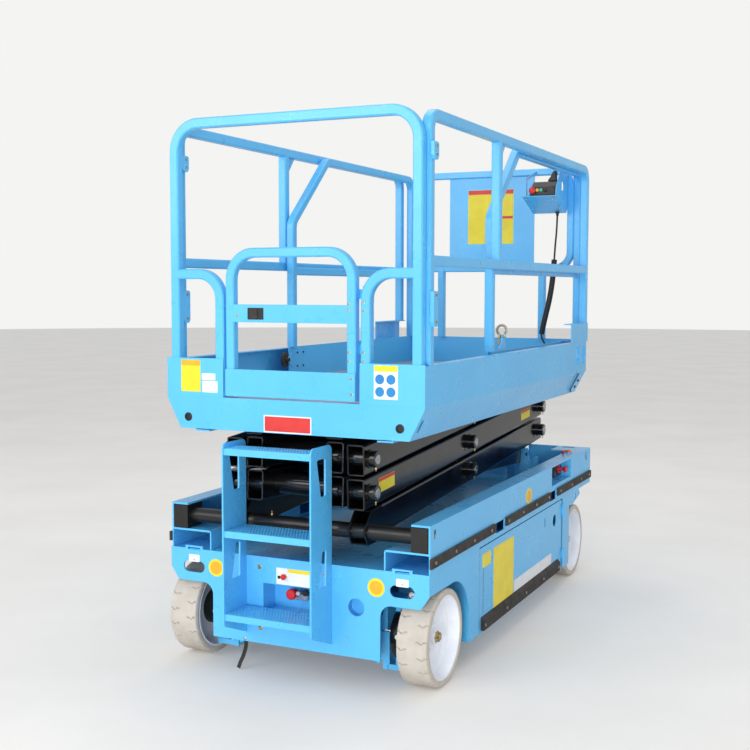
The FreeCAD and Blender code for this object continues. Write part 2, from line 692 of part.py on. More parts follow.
def rear_frame():
    """Full rear wall, slotted for the arm tails, with the lugs of the lower fixed pivot."""
    inside, base = CHASSIS_REAR - PLATE, BEAM_BOTTOM + PLATE
    wall = box((-CHASSIS_HALF, CHASSIS_HALF), (inside, CHASSIS_REAR), (BEAM_BOTTOM, RAIL_TOP))
    slot_low = BEAM_BOTTOM + WALL_SLOT_UP
    lug_top = SLIDE_Z + PIN_RADIUS + LUG_ROUND
    parts = []
    for side in (-1, 1):
        wall = wall.cut(box((side * (INNER_IN - WALL_SLOT_SIDE), side * (INNER_OUT + WALL_SLOT_SIDE)),
                            (inside - 1.0, CHASSIS_REAR + 1.0), (slot_low, RAIL_TOP + 1.0)))
        for x in ((INNER_OUT + LUG_GAP, INNER_OUT + LUG_GAP + LUG_THICK),
                  (INNER_IN - LUG_GAP - LUG_THICK, INNER_IN - LUG_GAP)):
            parts.append(plate_yz([(PIVOT_REAR_Y - LUG_RUN, base), (inside, base), (inside, slot_low),
                                   (PIVOT_REAR_Y + LUG_RUN / 2.0, lug_top),
                                   (PIVOT_REAR_Y - LUG_RUN / 2.0, lug_top)],
                                  (side * x[0], side * x[1])))
    body = fuse([wall] + parts)
    for side in (-1, 1):
        body = body.cut(bar((side * (INNER_IN - 40.0), side * (INNER_OUT + 40.0)), PIVOT_REAR_Y, SLIDE_Z,
                            PIN_RADIUS + RUN_FIT))
    return body


def front_plate():
    """Front plate with wheel cut-outs, chamfered wings, slots and the control recess."""
    half, low, top = PLATE_HALF, PLATE_BOTTOM, BEAM_BOTTOM + PLATE
    y = (CHASSIS_FRONT, CHASSIS_FRONT + PLATE)
    through = (y[0] - 1.0, y[1] + 1.0)
    side = [(half, low), (half, WING_BOTTOM, WING_ROUND),
            (CHASSIS_HALF - WING_CHAMFER, WING_BOTTOM, WING_CORNER),
            (CHASSIS_HALF, ARCH_TOP), (CHASSIS_HALF, top)]
    body = plate_xz(side + [(-p[0],) + p[1:] for p in side[::-1]], y)
    back = y[1] + RECESS_DEPTH
    shell = box((RECESS_LEFT - RECESS_WALL, RECESS_RIGHT + RECESS_WALL), (y[1], back),
                (RECESS_LOW - RECESS_WALL, RECESS_HIGH + RECESS_WALL))
    parts, cuts = [body, shell], []
    r, z = WING_SLOT_RADIUS, WING_BOTTOM + WING_SLOT_UP
    reach = WING_SLOT_LONG / 2.0 - r
    for s in (-1, 1):
        x = s * (CHASSIS_HALF - WING_SLOT_IN)
        parts.append(box((x - TAB_LONG / 2.0, x + TAB_LONG / 2.0), y, (top, top + TAB_HIGH)))
        cuts.append(box((x - TAB_SLOT_LONG / 2.0, x + TAB_SLOT_LONG / 2.0), through,
                        (top - 5.0, top - 5.0 + TAB_SLOT_HIGH)))
        cuts.append(box((x - reach, x + reach), through, (z - r, z + r)))
        cuts += [Part.makeCylinder(r, PLATE + 2.0, V(c, through[0], z), V(0, 1, 0))
                 for c in (x - reach, x + reach)]
    cuts.append(Part.makeCylinder(PLATE_HOLE_RADIUS, PLATE + 2.0, V(PLATE_HOLE_X, through[0], PLATE_HOLE_Z),
                                  V(0, 1, 0)))
    cuts.append(box((RECESS_LEFT, RECESS_RIGHT), (through[0], back - RECESS_WALL),
                    (RECESS_LOW, RECESS_HIGH)))
    body = fuse(parts)
    for cut in cuts:
        body = body.cut(cut)
    return body


def ladder():
    """Two side plates with tapered windows and three lipped treads."""
    left, right = LADDER_X - LADDER_HALF, LADDER_X + LADDER_HALF
    back, front = CHASSIS_FRONT, LADDER_FRONT
    edge = [(back, LADDER_BOTTOM - LADDER_SLOPE), (front, LADDER_BOTTOM, LADDER_CORNER),
            (front, LADDER_TOP, LADDER_CORNER), (back, LADDER_TOP, LADDER_CORNER)]
    windows = [[(front + y, STEP_TOP + z, WINDOW_CORNER) for y, z in UPPER_WINDOW],
               [(front + y, STEP_MIDDLE + z, WINDOW_CORNER) for y, z in LOWER_WINDOW]]
    parts = []
    for x in ((left, left + LADDER_PLATE), (right - LADDER_PLATE, right)):
        plate = plate_yz(edge, x)
        for window in windows:
            plate = plate.cut(plate_yz(window, (x[0] - 1.0, x[1] + 1.0)))
        parts.append(plate)
    for top, depth in ((STEP_TOP, TOP_STEP_DEPTH), (STEP_MIDDLE, STEP_DEPTH), (STEP_LOW, STEP_DEPTH)):
        nose = front + STEP_SET_BACK
        line = [(nose, top - STEP_LIP), (nose, top), (nose + depth, top), (nose + depth, top - STEP_LIP)]
        parts.append(plate_yz(sheet_points(line[::-1], STEP_SHEET),
                              (left + LADDER_PLATE, right - LADDER_PLATE)))
    return fuse(parts)


def rail_bumpers():
    """Rubber strips along the outside of both box beams."""
    z = (BEAM_BOTTOM + BUMPER_UP, BEAM_BOTTOM + BUMPER_UP + BUMPER_HIGH)
    return Part.makeCompound([box((s * CHASSIS_HALF, s * (CHASSIS_HALF + BUMPER_THICK)), span, z)
                              for s in (-1, 1) for span in BUMPER_SPANS])


# Wheels and axles

def wheel(side, axle_y, wheel_out):
    """Tyre and dished rim of one wheel, side being -1 or 1 and wheel_out its outer face."""
    out, inside = side * wheel_out, side * (wheel_out - WHEEL_WIDTH)

    def ring(profile):
        points = [V(x, axle_y, WHEEL_RADIUS + r) for x, r in profile]
        face = Part.Face(Part.makePolygon(points + [points[0]]))
        return face.revolve(V(0, axle_y, WHEEL_RADIUS), V(1, 0, 0), 360)

    r, c = WHEEL_RADIUS, TYRE_ROUND
    tyre = ring([(inside, RIM_RADIUS), (inside, r - c), (inside + side * c, r), (out - side * c, r),
                 (out, r - c), (out, RIM_RADIUS)])
    dish, well = out - side * DISH_DEPTH, RIM_RADIUS - RIM_WALL
    lip, back = out - side * RIM_SET_IN, dish - side * DISH_THICK
    rim = ring([(inside, RIM_RADIUS), (lip, RIM_RADIUS), (lip, well), (dish + side * 14.0, well - 7.0),
                (dish, well - DISH_FILLET), (dish, HUB_RADIUS + 10.0), (dish + side * HUB_STEP, HUB_RADIUS),
                (dish + side * HUB_STEP, SPINDLE_RADIUS + RUN_FIT),
                (back - side * 14.0, SPINDLE_RADIUS + RUN_FIT),
                (back - side * 14.0, HUB_RADIUS), (back, HUB_RADIUS + 12.0), (back, well - DISH_FILLET),
                (inside, well)])
    return tyre, rim


def spindle_start(wheel_out):
    """Distance from the middle at which a spindle's shoulder meets the rim's hub."""
    return wheel_out - DISH_DEPTH - DISH_THICK - SPINDLE_SHOULDER - 1.0


def knuckle(side):
    """Steering knuckle: upright plate with kingpins above and below."""
    y = (FRONT_AXLE_Y - KNUCKLE_HALF, FRONT_AXLE_Y + KNUCKLE_HALF)
    inner = KINGPIN_X - KNUCKLE_IN
    parts = [box((side * inner, side * (inner + KNUCKLE_PLATE)), y, (KNUCKLE_BOTTOM, KNUCKLE_TOP))]
    for low in (KNUCKLE_BOTTOM, KNUCKLE_TOP - KNUCKLE_PLATE):
        parts.append(box((side * inner, side * (KINGPIN_X + KNUCKLE_EAR)), y, (low, low + KNUCKLE_PLATE)))
    reach = YOKE_GAP + YOKE_THICK + PIN_PROUD
    for z in ((KNUCKLE_TOP - 4.0, KNUCKLE_TOP + reach), (KNUCKLE_BOTTOM - reach, KNUCKLE_BOTTOM + 4.0)):
        parts.append(post(side * KINGPIN_X, FRONT_AXLE_Y, z, KINGPIN_RADIUS))
    return fuse(parts)


def drive_motor(side):
    """Wheel motor: round flange, drum and the spindle that the wheel turns on."""
    z, start = WHEEL_RADIUS, KINGPIN_X - KNUCKLE_IN + KNUCKLE_PLATE
    flange, shoulder = start + MOTOR_FLANGE_THICK, spindle_start(FRONT_WHEEL_OUT)
    runs = ((start, flange, MOTOR_FLANGE), (flange, shoulder, MOTOR_RADIUS),
            (shoulder, FRONT_WHEEL_OUT - SPINDLE_SET_IN, SPINDLE_RADIUS))
    return fuse([bar((side * a, side * b), FRONT_AXLE_Y, z, r) for a, b, r in runs])


def steer_axle():
    """Cross beam with a fork at each end for the kingpins and a notched guard before it."""
    y = (FRONT_AXLE_Y - AXLE_HALF_Y, FRONT_AXLE_Y + AXLE_HALF_Y)
    low, high = KNUCKLE_BOTTOM - YOKE_GAP, KNUCKLE_TOP + YOKE_GAP
    beam = (WHEEL_RADIUS - AXLE_DOWN, WHEEL_RADIUS + AXLE_UP)
    parts = [box((-AXLE_END, AXLE_END), y, beam), box((-TOWER_HALF, TOWER_HALF), y, (beam[1], BEAM_BOTTOM))]
    for s in (-1, 1):
        web = (s * (AXLE_END - YOKE_PLATE), s * AXLE_END)
        parts.append(box(web, y, (low - YOKE_THICK, high + YOKE_THICK)))
        for z in ((low - YOKE_THICK, low), (high, high + YOKE_THICK)):
            parts.append(box((web[0], s * (KINGPIN_X + KNUCKLE_EAR)),
                             (FRONT_AXLE_Y - KNUCKLE_HALF, FRONT_AXLE_Y + KNUCKLE_HALF), z))
        parts.append(plate_xz([(s * (AXLE_END + x), beam[0] + z) for x, z in GUARD_POINTS],
                              (y[0] - GUARD_THICK, y[0])))
    body = fuse(parts)
    for s in (-1, 1):
        body = body.cut(post(s * KINGPIN_X, FRONT_AXLE_Y, (low - YOKE_THICK - 9.0, high + YOKE_THICK + 9.0),
                             KINGPIN_RADIUS + RUN_FIT))
    return body


def rear_axle():
    """Fixed rear axle: beam, end plates and spindles."""
    z, end = WHEEL_RADIUS, REAR_WHEEL_OUT - REAR_END_IN
    y = (REAR_AXLE_Y - AXLE_HALF_Y, REAR_AXLE_Y + AXLE_HALF_Y)
    parts = [box((-end, end), y, (z - REAR_BEAM_HALF, z + REAR_BEAM_HALF)),
             box((REAR_TOWER_IN - REAR_WHEEL_OUT, REAR_WHEEL_OUT - REAR_TOWER_IN), y,
                 (z + REAR_BEAM_HALF, BEAM_BOTTOM))]
    shoulder = spindle_start(REAR_WHEEL_OUT)
    for s in (-1, 1):
        parts.append(bar((s * end, s * shoulder), REAR_AXLE_Y, z, HUB_RADIUS - 4.0))
        parts.append(bar((s * shoulder, s * (REAR_WHEEL_OUT - SPINDLE_SET_IN)), REAR_AXLE_Y, z,
                         SPINDLE_RADIUS))
    return fuse(parts)


# Swing-out trays

def door_cuts(face):
    """Pressed strip, round-ended slot and round hole of a door whose outer face is at x = face."""
    x = (face - TRAY_SHEET - 1.0, face + 1.0)
    a, b, low, high = DOOR_STRIP
    return [box((face - DOOR_STRIP_DEEP, face + 1.0), (TRAY_FRONT + a, TRAY_FRONT + b),
                (TRAY_TOP + low, TRAY_TOP + high)),
            upright_slot(x, TRAY_REAR - DOOR_SLOT_AHEAD,
                         (TRAY_TOP - DOOR_SLOT_DOWN[1], TRAY_TOP - DOOR_SLOT_DOWN[0]),
                         DOOR_SLOT_RADIUS),
            bar(x, TRAY_REAR - DOOR_HOLE_AHEAD, TRAY_TOP - DOOR_HOLE_DOWN, DOOR_HOLE_RADIUS)]


def tray():
    """Door skin with its box tray behind it (right side)."""
    face = CHASSIS_HALF - TRAY_PROUD
    inner = face - TRAY_SHEET
    skin = box((inner, face), (TRAY_FRONT, TRAY_REAR), (TRAY_DOOR_BOTTOM, TRAY_TOP))
    length = (TRAY_FRONT + TRAY_SET_BACK, TRAY_REAR - TRAY_REAR_SET)
    shell = box((TRAY_IN, inner), length, (TRAY_FLOOR, TRAY_BOX_TOP))
    room = box((TRAY_IN + TRAY_SHEET, inner), (length[0] + TRAY_SHEET, length[1] - TRAY_SHEET),
               (TRAY_FLOOR + TRAY_SHEET, TRAY_BOX_TOP + 1.0))
    for cut in door_cuts(face):
        skin = skin.cut(cut)
    return fuse([skin, shell.cut(room)])


def tray_bumper():
    """Rubber strip with a sloped top along the foot of the door (right side)."""
    face, low = CHASSIS_HALF - TRAY_PROUD, TRAY_DOOR_BOTTOM + DOOR_BUMPER_UP
    high, out = low + DOOR_BUMPER_HIGH, face + DOOR_BUMPER_THICK
    return plate_xz([(face, low), (out, low), (out, high), (face, high + DOOR_BUMPER_SLOPE)],
                    (TRAY_FRONT + DOOR_BUMPER_ENDS[0], TRAY_REAR - DOOR_BUMPER_ENDS[1]))


def tray_hinges(door):
    """Door with the hinge barrels on its rear edge (right side)."""
    y = TRAY_REAR + TRAY_PIN_BEHIND
    parts, bores = [door], []
    for low in TRAY_HINGE_ZS:
        z = (low, low + TRAY_HINGE_LENGTH)
        parts.append(post(TRAY_PIN_X, y, z, TRAY_BARREL))
        parts.append(box((CHASSIS_HALF - TRAY_PROUD - TRAY_SHEET, CHASSIS_HALF - 1.0),
                         (TRAY_REAR - 14.0, y), z))
        bores.append(post(TRAY_PIN_X, y, (z[0] - 1.0, z[1] + 1.0), TRAY_PIN_RADIUS + RUN_FIT))
    body = fuse(parts)
    for bore in bores:
        body = body.cut(bore)
    return body


def tray_load(height):
    """Heavy block that fills the tray (right side)."""
    gap, inner = TRAY_LOAD_GAP, CHASSIS_HALF - TRAY_PROUD - TRAY_SHEET
    return box((TRAY_IN + TRAY_SHEET + gap, inner - gap),
               (TRAY_FRONT + TRAY_SET_BACK + TRAY_SHEET + gap,
                TRAY_REAR - TRAY_REAR_SET - TRAY_SHEET - gap),
               (TRAY_FLOOR + TRAY_SHEET, TRAY_FLOOR + TRAY_SHEET + height))


# Scissor stack

def rounded_bar(x, y, half, corner):
    """Level bar of rectangular section with rounded corners, half as deep each way from z = 0."""
    corners = [(x[0], -half, corner), (x[1], -half, corner), (x[1], half, corner), (x[0], half, corner)]
    return plate_xz(corners, y)


def arm_tube(x, low_z, rises_to_rear, tail=ARM_END, nose=True):
    """Open-ended rectangular tube of one arm between two x values."""
    slope = 1.0 if rises_to_rear else -1.0
    z_front = low_z if rises_to_rear else low_z + PITCH
    length = math.hypot(ARM_RUN, PITCH)
    start = -ARM_END if nose else 60.0
    stop = length + tail
    half = ARM_DEPTH / 2.0
    outer = rounded_bar(x, (start, stop), half, ARM_CORNER)
    x0, x1 = min(x) + ARM_WALL, max(x) - ARM_WALL
    tube = outer.cut(rounded_bar((x0, x1), (start - 1.0, stop + 1.0), half - ARM_WALL,
                                 ARM_CORNER - ARM_WALL))
    tube.rotate(V(0, 0, 0), V(1, 0, 0), math.degrees(math.atan2(slope * PITCH, ARM_RUN)))
    tube.translate(V(0, PIVOT_FRONT_Y, z_front))
    return tube


def pin_hole(side, y, z, radius):
    return bar((side * (INNER_IN - 30.0), side * (BOSS_OUT + 30.0)), y, z, radius)


def pins(y, z):
    """Stub pins through an arm pair on both sides, ending outside the outer arms."""
    return [bar((s * (INNER_IN + 1.0), s * BOSS_OUT), y, z, PIN_RADIUS) for s in (-1, 1)]


def boss(x, y, z):
    """Welded boss sleeves round a pin bore, on both sides."""
    return [bar((s * x[0], s * x[1]), y, z, BOSS_RADIUS) for s in (-1, 1)]


def level_pins(level):
    """Heights of the low, middle and high pins of one level."""
    low = LEVELS[level]
    return low, low + PITCH / 2.0, low + PITCH


def inner_arms(level):
    """Inner arm pair of one level with its cross tubes, middle pins and front pins."""
    low, middle, high = level_pins(level)
    x = (INNER_IN, INNER_OUT)
    parts = []
    for s in (-1, 1):
        xs = (s * x[0], s * x[1])
        parts.append(arm_tube(xs, low, False))
    if level > 0:
        parts += boss((INNER_IN, INNER_OUT), PIVOT_REAR_Y, low)
    parts += boss((INNER_IN, INNER_OUT), MID_Y, middle) + pins(MID_Y, middle)
    parts += boss((INNER_IN, INNER_OUT), PIVOT_FRONT_Y, high)
    parts.append(bar((-INNER_IN, INNER_IN), PIVOT_FRONT_Y + CROSS_BACK, high - 6.0, CROSS_RADIUS))
    if level < 2:
        parts += pins(PIVOT_FRONT_Y, high)
    if level == 0:
        for s in (-1, 1):
            parts.append(bar((s * (INNER_IN), s * INNER_OUT), PIVOT_REAR_Y, SLIDE_Z, BOSS_RADIUS + 4.0))
            parts.append(bar((s * (INNER_IN - 22.0), s * (INNER_OUT + 22.0)), PIVOT_REAR_Y, SLIDE_Z,
                             PIN_RADIUS))
        parts += cylinder_lugs(*on_inner(0, CYL_BASE_S))
    if level == 2:
        parts += cylinder_lugs(*on_inner(2, CYL_ROD_S))
        for s in (-1, 1):
            parts.append(bar((s * INNER_IN, s * OUTER_IN), PIVOT_FRONT_Y, high, BOSS_RADIUS))
    body = fuse(parts)
    if level > 0:
        for s in (-1, 1):
            body = body.cut(pin_hole(s, PIVOT_REAR_Y, low, PIN_RADIUS + RUN_FIT))
    if level == 2:
        body = body.cut(bar((-CHASSIS_HALF, CHASSIS_HALF), PIVOT_FRONT_Y, high,
                            UPPER_SHAFT_RADIUS + RUN_FIT))
    return body


def outer_arms(level):
    """Outer arm pair of one level with its cross tubes and rear pins."""
    low, middle, high = level_pins(level)
    parts = []
    for s in (-1, 1):
        tail = TOP_ARM_END if level == 2 else ARM_END
        parts.append(arm_tube((s * OUTER_IN, s * OUTER_OUT), low, True, tail, nose=level > 0))
        parts += [bar((s * OUTER_IN, s * BOSS_OUT), MID_Y, middle, BOSS_RADIUS)]
        rear_boss = BOSS_OUT if level < 2 else OUTER_OUT + 1.0
        parts += [bar((s * OUTER_IN, s * rear_boss), PIVOT_REAR_Y, high, BOSS_RADIUS)]
        if level > 0:
            parts += [bar((s * OUTER_IN, s * BOSS_OUT), PIVOT_FRONT_Y, low, BOSS_RADIUS)]
        else:
            parts.append(slide_ear(s))
            parts.append(bar((s * OUTER_IN, s * OUTER_OUT), PIVOT_FRONT_Y, SLIDE_Z, SLEEVE_RADIUS))
            parts.append(bar((s * OUTER_OUT, s * COLLAR_OUT), PIVOT_FRONT_Y, SLIDE_Z,
                             SLEEVE_RADIUS + SHAFT_COLLAR))
    if level < 2:
        parts.append(bar((-BOSS_OUT, BOSS_OUT), PIVOT_REAR_Y, high, PIN_RADIUS))
    body = fuse(parts)
    for s in (-1, 1):
        body = body.cut(pin_hole(s, MID_Y, middle, PIN_RADIUS + RUN_FIT))
        if level > 0:
            body = body.cut(pin_hole(s, PIVOT_FRONT_Y, low, PIN_RADIUS + RUN_FIT))
    if level == 0:
        body = body.cut(bar((-CHASSIS_HALF, CHASSIS_HALF), PIVOT_FRONT_Y, SLIDE_Z, SHAFT_RADIUS + RUN_FIT))
    if level == 2:
        body = body.cut(bar((-CHASSIS_HALF, CHASSIS_HALF), PIVOT_REAR_Y, high,
                            UPPER_SHAFT_RADIUS + RUN_FIT))
    return body


def slide_ear(side):
    """Bent-down end of the lower outer arm: two cheeks and their lower web, open to the front."""
    low, high = LEVELS[0] - ARM_DEPTH / 2.0, LEVELS[0] + ARM_DEPTH / 2.0
    y, web = PIVOT_FRONT_Y, SLIDE_Z - EAR_DROP
    rise = EAR_LENGTH * math.tan(ARM_ANGLE)
    cheek = [(y - EAR_NOSE, SLIDE_Z + EAR_BEVEL), (y - EAR_NOSE / 3.0, web), (y + EAR_NOSE, web),
             (y + EAR_LENGTH, low + rise), (y + EAR_LENGTH, high + rise), (y + EAR_NOSE / 3.0, high)]
    mouth = [(y - 2.0 * EAR_NOSE, web + ARM_WALL), (y + EAR_NOSE, web + ARM_WALL),
             (y + EAR_LENGTH + 1.0, low + rise + ARM_WALL), (y + EAR_LENGTH + 1.0, high + rise - ARM_WALL),
             (y + EAR_NOSE / 3.0, high - ARM_WALL), (y - 2.0 * EAR_NOSE, high - ARM_WALL)]
    x = (side * (OUTER_IN + ARM_WALL), side * (OUTER_OUT - ARM_WALL))
    return plate_yz(cheek, (side * OUTER_IN, side * OUTER_OUT)).cut(plate_yz(mouth, x))


def on_inner(level, distance):
    """Point on an inner arm's centre line, at a distance from its rear pin."""
    return (PIVOT_REAR_Y - distance * math.cos(ARM_ANGLE), LEVELS[level] + distance * math.sin(ARM_ANGLE))


def cylinder_lugs(y, z):
    """Cross pin between the inner arms that an eye of the lift cylinder turns on."""
    return [bar((-INNER_IN, INNER_IN), y, z, CYL_PIN_RADIUS)]


def cylinder_line():
    """Both eye centres of the lift cylinder and the direction between them."""
    base = on_inner(0, CYL_BASE_S)
    tip = on_inner(2, CYL_ROD_S)
    size = math.hypot(tip[0] - base[0], tip[1] - base[1])
    return base, tip, size, ((tip[0] - base[0]) / size, (tip[1] - base[1]) / size)


def cylinder_barrel():
    """Lift cylinder barrel with its lower eye."""
    base, tip, size, way = cylinder_line()
    axis = V(0, way[0], way[1])
    start = V(0, base[0], base[1])
    body = Part.makeCylinder(CYL_RADIUS, size - 190.0, start + axis * 62.0, axis)
    gland = Part.makeCylinder(CYL_RADIUS + CYL_GLAND, 44.0, start + axis * (size - 172.0), axis)
    eye = bar((-CYL_EYE_WIDTH / 2.0, CYL_EYE_WIDTH / 2.0), base[0], base[1], CYL_EYE_RADIUS)
    neck = Part.makeCylinder(CYL_EYE_RADIUS - 6.0, 50.0, start + axis * 20.0, axis)
    body = fuse([body, gland, eye, neck])
    bore = Part.makeCylinder(ROD_RADIUS + RUN_FIT, size, start + axis * 110.0, axis)
    return body.cut(bore).cut(bar((-90.0, 90.0), base[0], base[1], CYL_PIN_RADIUS + RUN_FIT))


def cylinder_rod():
    """Chromed rod with the eye at its free end."""
    base, tip, size, way = cylinder_line()
    axis = V(0, way[0], way[1])
    start = V(0, base[0], base[1])
    rod = Part.makeCylinder(ROD_RADIUS, size - 150.0, start + axis * 118.0, axis)
    eye = bar((-CYL_EYE_WIDTH / 2.0, CYL_EYE_WIDTH / 2.0), tip[0], tip[1], CYL_EYE_RADIUS)
    return fuse([rod, eye]).cut(bar((-90.0, 90.0), tip[0], tip[1], CYL_PIN_RADIUS + 0.5))


def lower_slider():
    """Shaft across the chassis with a sliding block at each end."""
    y = PIVOT_FRONT_Y
    shaft = bar((-FLANGE_IN - 10.0, FLANGE_IN + 10.0), y, SLIDE_Z, SHAFT_RADIUS)
    parts = [shaft]
    for s in (-1, 1):
        parts.append(bar((s * (COLLAR_OUT + RUN_FIT), s * FLANGE_IN), y, SLIDE_Z, SLEEVE_RADIUS))
        parts.append(box((s * FLANGE_IN, s * (CHASSIS_HALF - PLATE - BLOCK_GAP)),
                         (y - BLOCK_HALF_Y, y + BLOCK_HALF_Y),
                         (CHANNEL_FLOOR + BLOCK_GAP, RAIL_TOP - PLATE - BLOCK_GAP)))
    return fuse(parts)


def upper_slider():
    """Shaft of the upper sliding joint with its blocks in the platform's channels."""
    z, y = TOP_PIN_Z, PIVOT_FRONT_Y
    out = CHANNEL_OUT - CHANNEL_WALL - BLOCK_GAP
    half = UPPER_RAIL_HALF - CHANNEL_WALL - BLOCK_GAP
    parts = [bar((-out, out), y, z, UPPER_SHAFT_RADIUS)]
    for s in (-1, 1):
        parts.append(box((s * CHANNEL_IN, s * out), (y - UPPER_BLOCK_HALF_Y, y + UPPER_BLOCK_HALF_Y),
                         (z - half, z + half)))
    return fuse(parts)


# Platform

def platform_frame():
    """Deck plate, inner channels for the upper slider and the fixed rear pivot lugs."""
    deck = box((-PLATFORM_HALF + SHEET, PLATFORM_HALF - SHEET),
               (PLATFORM_FRONT + SHEET, PLATFORM_REAR - SHEET),
               (DECK_TOP - DECK_SHEET, DECK_TOP))
    z, t, under = TOP_PIN_Z, CHANNEL_WALL, DECK_TOP - DECK_SHEET
    y = (PLATFORM_FRONT + SHEET, PLATFORM_REAR - SHEET)
    parts = [deck]
    for s in (-1, 1):
        parts.append(box((s * (CHANNEL_OUT - t), s * CHANNEL_OUT), y, (z - UPPER_RAIL_HALF, under)))
        for low in (z - UPPER_RAIL_HALF, z + UPPER_RAIL_HALF - t):
            parts.append(box((s * CHANNEL_IN, s * CHANNEL_OUT), y, (low, low + t)))
        parts.append(box((s * (OUTER_OUT + 2.0), s * (OUTER_OUT + 18.0)),
                         (PIVOT_REAR_Y - 45.0, PLATFORM_REAR - SHEET), (z - 36.0, under)))
        parts.append(bar((s * (OUTER_IN - 10.0), s * (OUTER_OUT + 18.0)), PIVOT_REAR_Y, z,
                         UPPER_SHAFT_RADIUS))
    return fuse(parts)


def side_skirt():
    """Toe board and sloping skirt of the right side, one bent sheet."""
    line = [(PLATFORM_HALF - TOE_FLANGE, TOE_TOP), (PLATFORM_HALF, TOE_TOP), (PLATFORM_HALF, SKIRT_BEND),
            (SKIRT_HALF, SKIRT_LOW), (SKIRT_HALF - SKIRT_RETURN, SKIRT_LOW)]
    line = line[::-1]
    body = plate_xz(sheet_points(line, SHEET), (PLATFORM_FRONT + SHEET, PLATFORM_REAR - SHEET))
    notch = box((PLATFORM_HALF - TOE_FLANGE - 1.0, PLATFORM_HALF - SHEET),
                (PLATFORM_FRONT, PLATFORM_FRONT + SHEET + TUBE + 1.0),
                (TOE_TOP - SHEET - 1.0, TOE_TOP + 1.0))
    slot = upright_slot((SKIRT_HALF - SKIRT_RETURN, PLATFORM_HALF + 1.0),
                        PLATFORM_FRONT + SLOPE_SLOT_BEHIND,
                        (DECK_TOP - SLOPE_SLOT_DOWN[1], DECK_TOP - SLOPE_SLOT_DOWN[0]), SLOPE_SLOT_RADIUS)
    return body.cut(notch).cut(slot)


def end_skirt(y):
    """Trapezoid end plate of the platform, with a round hole near each lower corner."""
    slope = [(SKIRT_HALF, SKIRT_LOW), (PLATFORM_HALF, SKIRT_BEND), (PLATFORM_HALF, DECK_TOP)]
    points = slope + [(-x, z) for x, z in slope[::-1]]
    plate = plate_xz(points, y)
    for s in (-1, 1):
        at = V(s * (PLATFORM_HALF - SKIRT_HOLE_IN), y[0] - 1.0, SKIRT_LOW + SKIRT_HOLE_UP)
        plate = plate.cut(Part.makeCylinder(SKIRT_HOLE_RADIUS, SHEET + 2.0, at, V(0, 1, 0)))
    return plate


def rear_skirt():
    """Rear end plate, slotted where the upper arms run out past it."""
    body = end_skirt((PLATFORM_REAR - SHEET, PLATFORM_REAR))
    for s in (-1, 1):
        body = body.cut(box((s * (OUTER_IN - ARM_SLOT), s * (OUTER_OUT + ARM_SLOT + 20.0)),
                            (PLATFORM_REAR - SHEET - 1.0, PLATFORM_REAR + 1.0),
                            (SKIRT_LOW - 1.0, DECK_TOP - DECK_SHEET - SLOT_ROOM)))
    return body


def toe_plates():
    """Toe plates either side of the gate."""
    return [box((s * SMALL_IN, s * PLATFORM_HALF), (PLATFORM_FRONT, PLATFORM_FRONT + SHEET),
                (DECK_TOP, TOE_TOP + TOE_PLATE_UP))
            for s in (-1, 1)]


def rear_boxes():
    """Raised side plates at the rear, bent inward at the top to carry the rail posts."""
    line = [(PLATFORM_HALF, TOE_TOP), (PLATFORM_HALF, REAR_BOX_TOP),
            (PLATFORM_HALF - TOE_FLANGE, REAR_BOX_TOP)]
    plate = plate_xz(sheet_points(line, SHEET), (REAR_BOX_FRONT, REAR_BOX_REAR))
    return [plate, mirrored(plate)]


def front_guard():
    """Tall hoop with a small hoop on each side of the gate."""
    y = PLATFORM_FRONT + TUBE / 2.0 + SHEET
    edge = TALL_HALF - TUBE / 2.0
    top = TALL_TOP - TUBE / 2.0
    parts = [square_tube([(-edge, y, DECK_TOP), (-edge, y, top), (edge, y, top), (edge, y, DECK_TOP)],
                         (0, 1, 0), TUBE, TALL_BEND)]
    for s in (-1, 1):
        inner = s * (SMALL_IN + TUBE / 2.0)
        z = SMALL_TOP - TUBE / 2.0
        parts.append(square_tube([(s * edge, y, z), (inner, y, z), (inner, y, DECK_TOP)], (0, 1, 0), TUBE,
                                 SMALL_BEND))
    return fuse(parts + gate_hinge_post())


def side_guard(post_y):
    """Top and middle rails of the right side with their posts, the middle one at post_y."""
    x, half = RAIL_X_OUT - TUBE / 2.0, TUBE / 2.0
    front, rear = PLATFORM_FRONT + SHEET + TUBE + half + GUARD_GAP, RAIL_REAR_Y
    top, middle = RAIL_TOP_Z - half, RAIL_MID_Z - half
    hoop = square_tube([(x, front, TOE_TOP), (x, front, top), (x, rear, top), (x, rear, REAR_BOX_TOP)],
                       (1, 0, 0), TUBE, RAIL_BEND)
    mid = square_tube([(x, front, middle), (x, rear, middle)], (1, 0, 0), TUBE, 0)
    upright = square_tube([(x, post_y, middle), (x, post_y, top)], (1, 0, 0), TUBE, 0)
    return fuse([hoop, mid, upright])


def gate_hinge_y():
    """The hinge line lies just inside the gate's inner face."""
    return PLATFORM_FRONT + SHEET + TUBE + GATE_BARREL + 1.0


def gate_hinge_post():
    """Pins and leaves on the guard that the gate's barrels turn on."""
    x, y = GATE_HINGE_X, gate_hinge_y()
    parts = []
    for low in [DECK_TOP + up for up in GATE_HINGE_UPS]:
        high = low + GATE_BARREL_LENGTH
        parts.append(post(x, y, (low - 2.0, high + 2.0), GATE_PIN))
        for z in ((low - HINGE_SLACK - GATE_KNUCKLE, low - HINGE_SLACK),
                  (high + HINGE_SLACK, high + HINGE_SLACK + GATE_KNUCKLE)):
            parts.append(post(x, y, z, GATE_BARREL))
            parts.append(box((x, SMALL_IN + GATE_LEAF), (PLATFORM_FRONT + SHEET + TUBE - 1.0, y), z))
    return parts


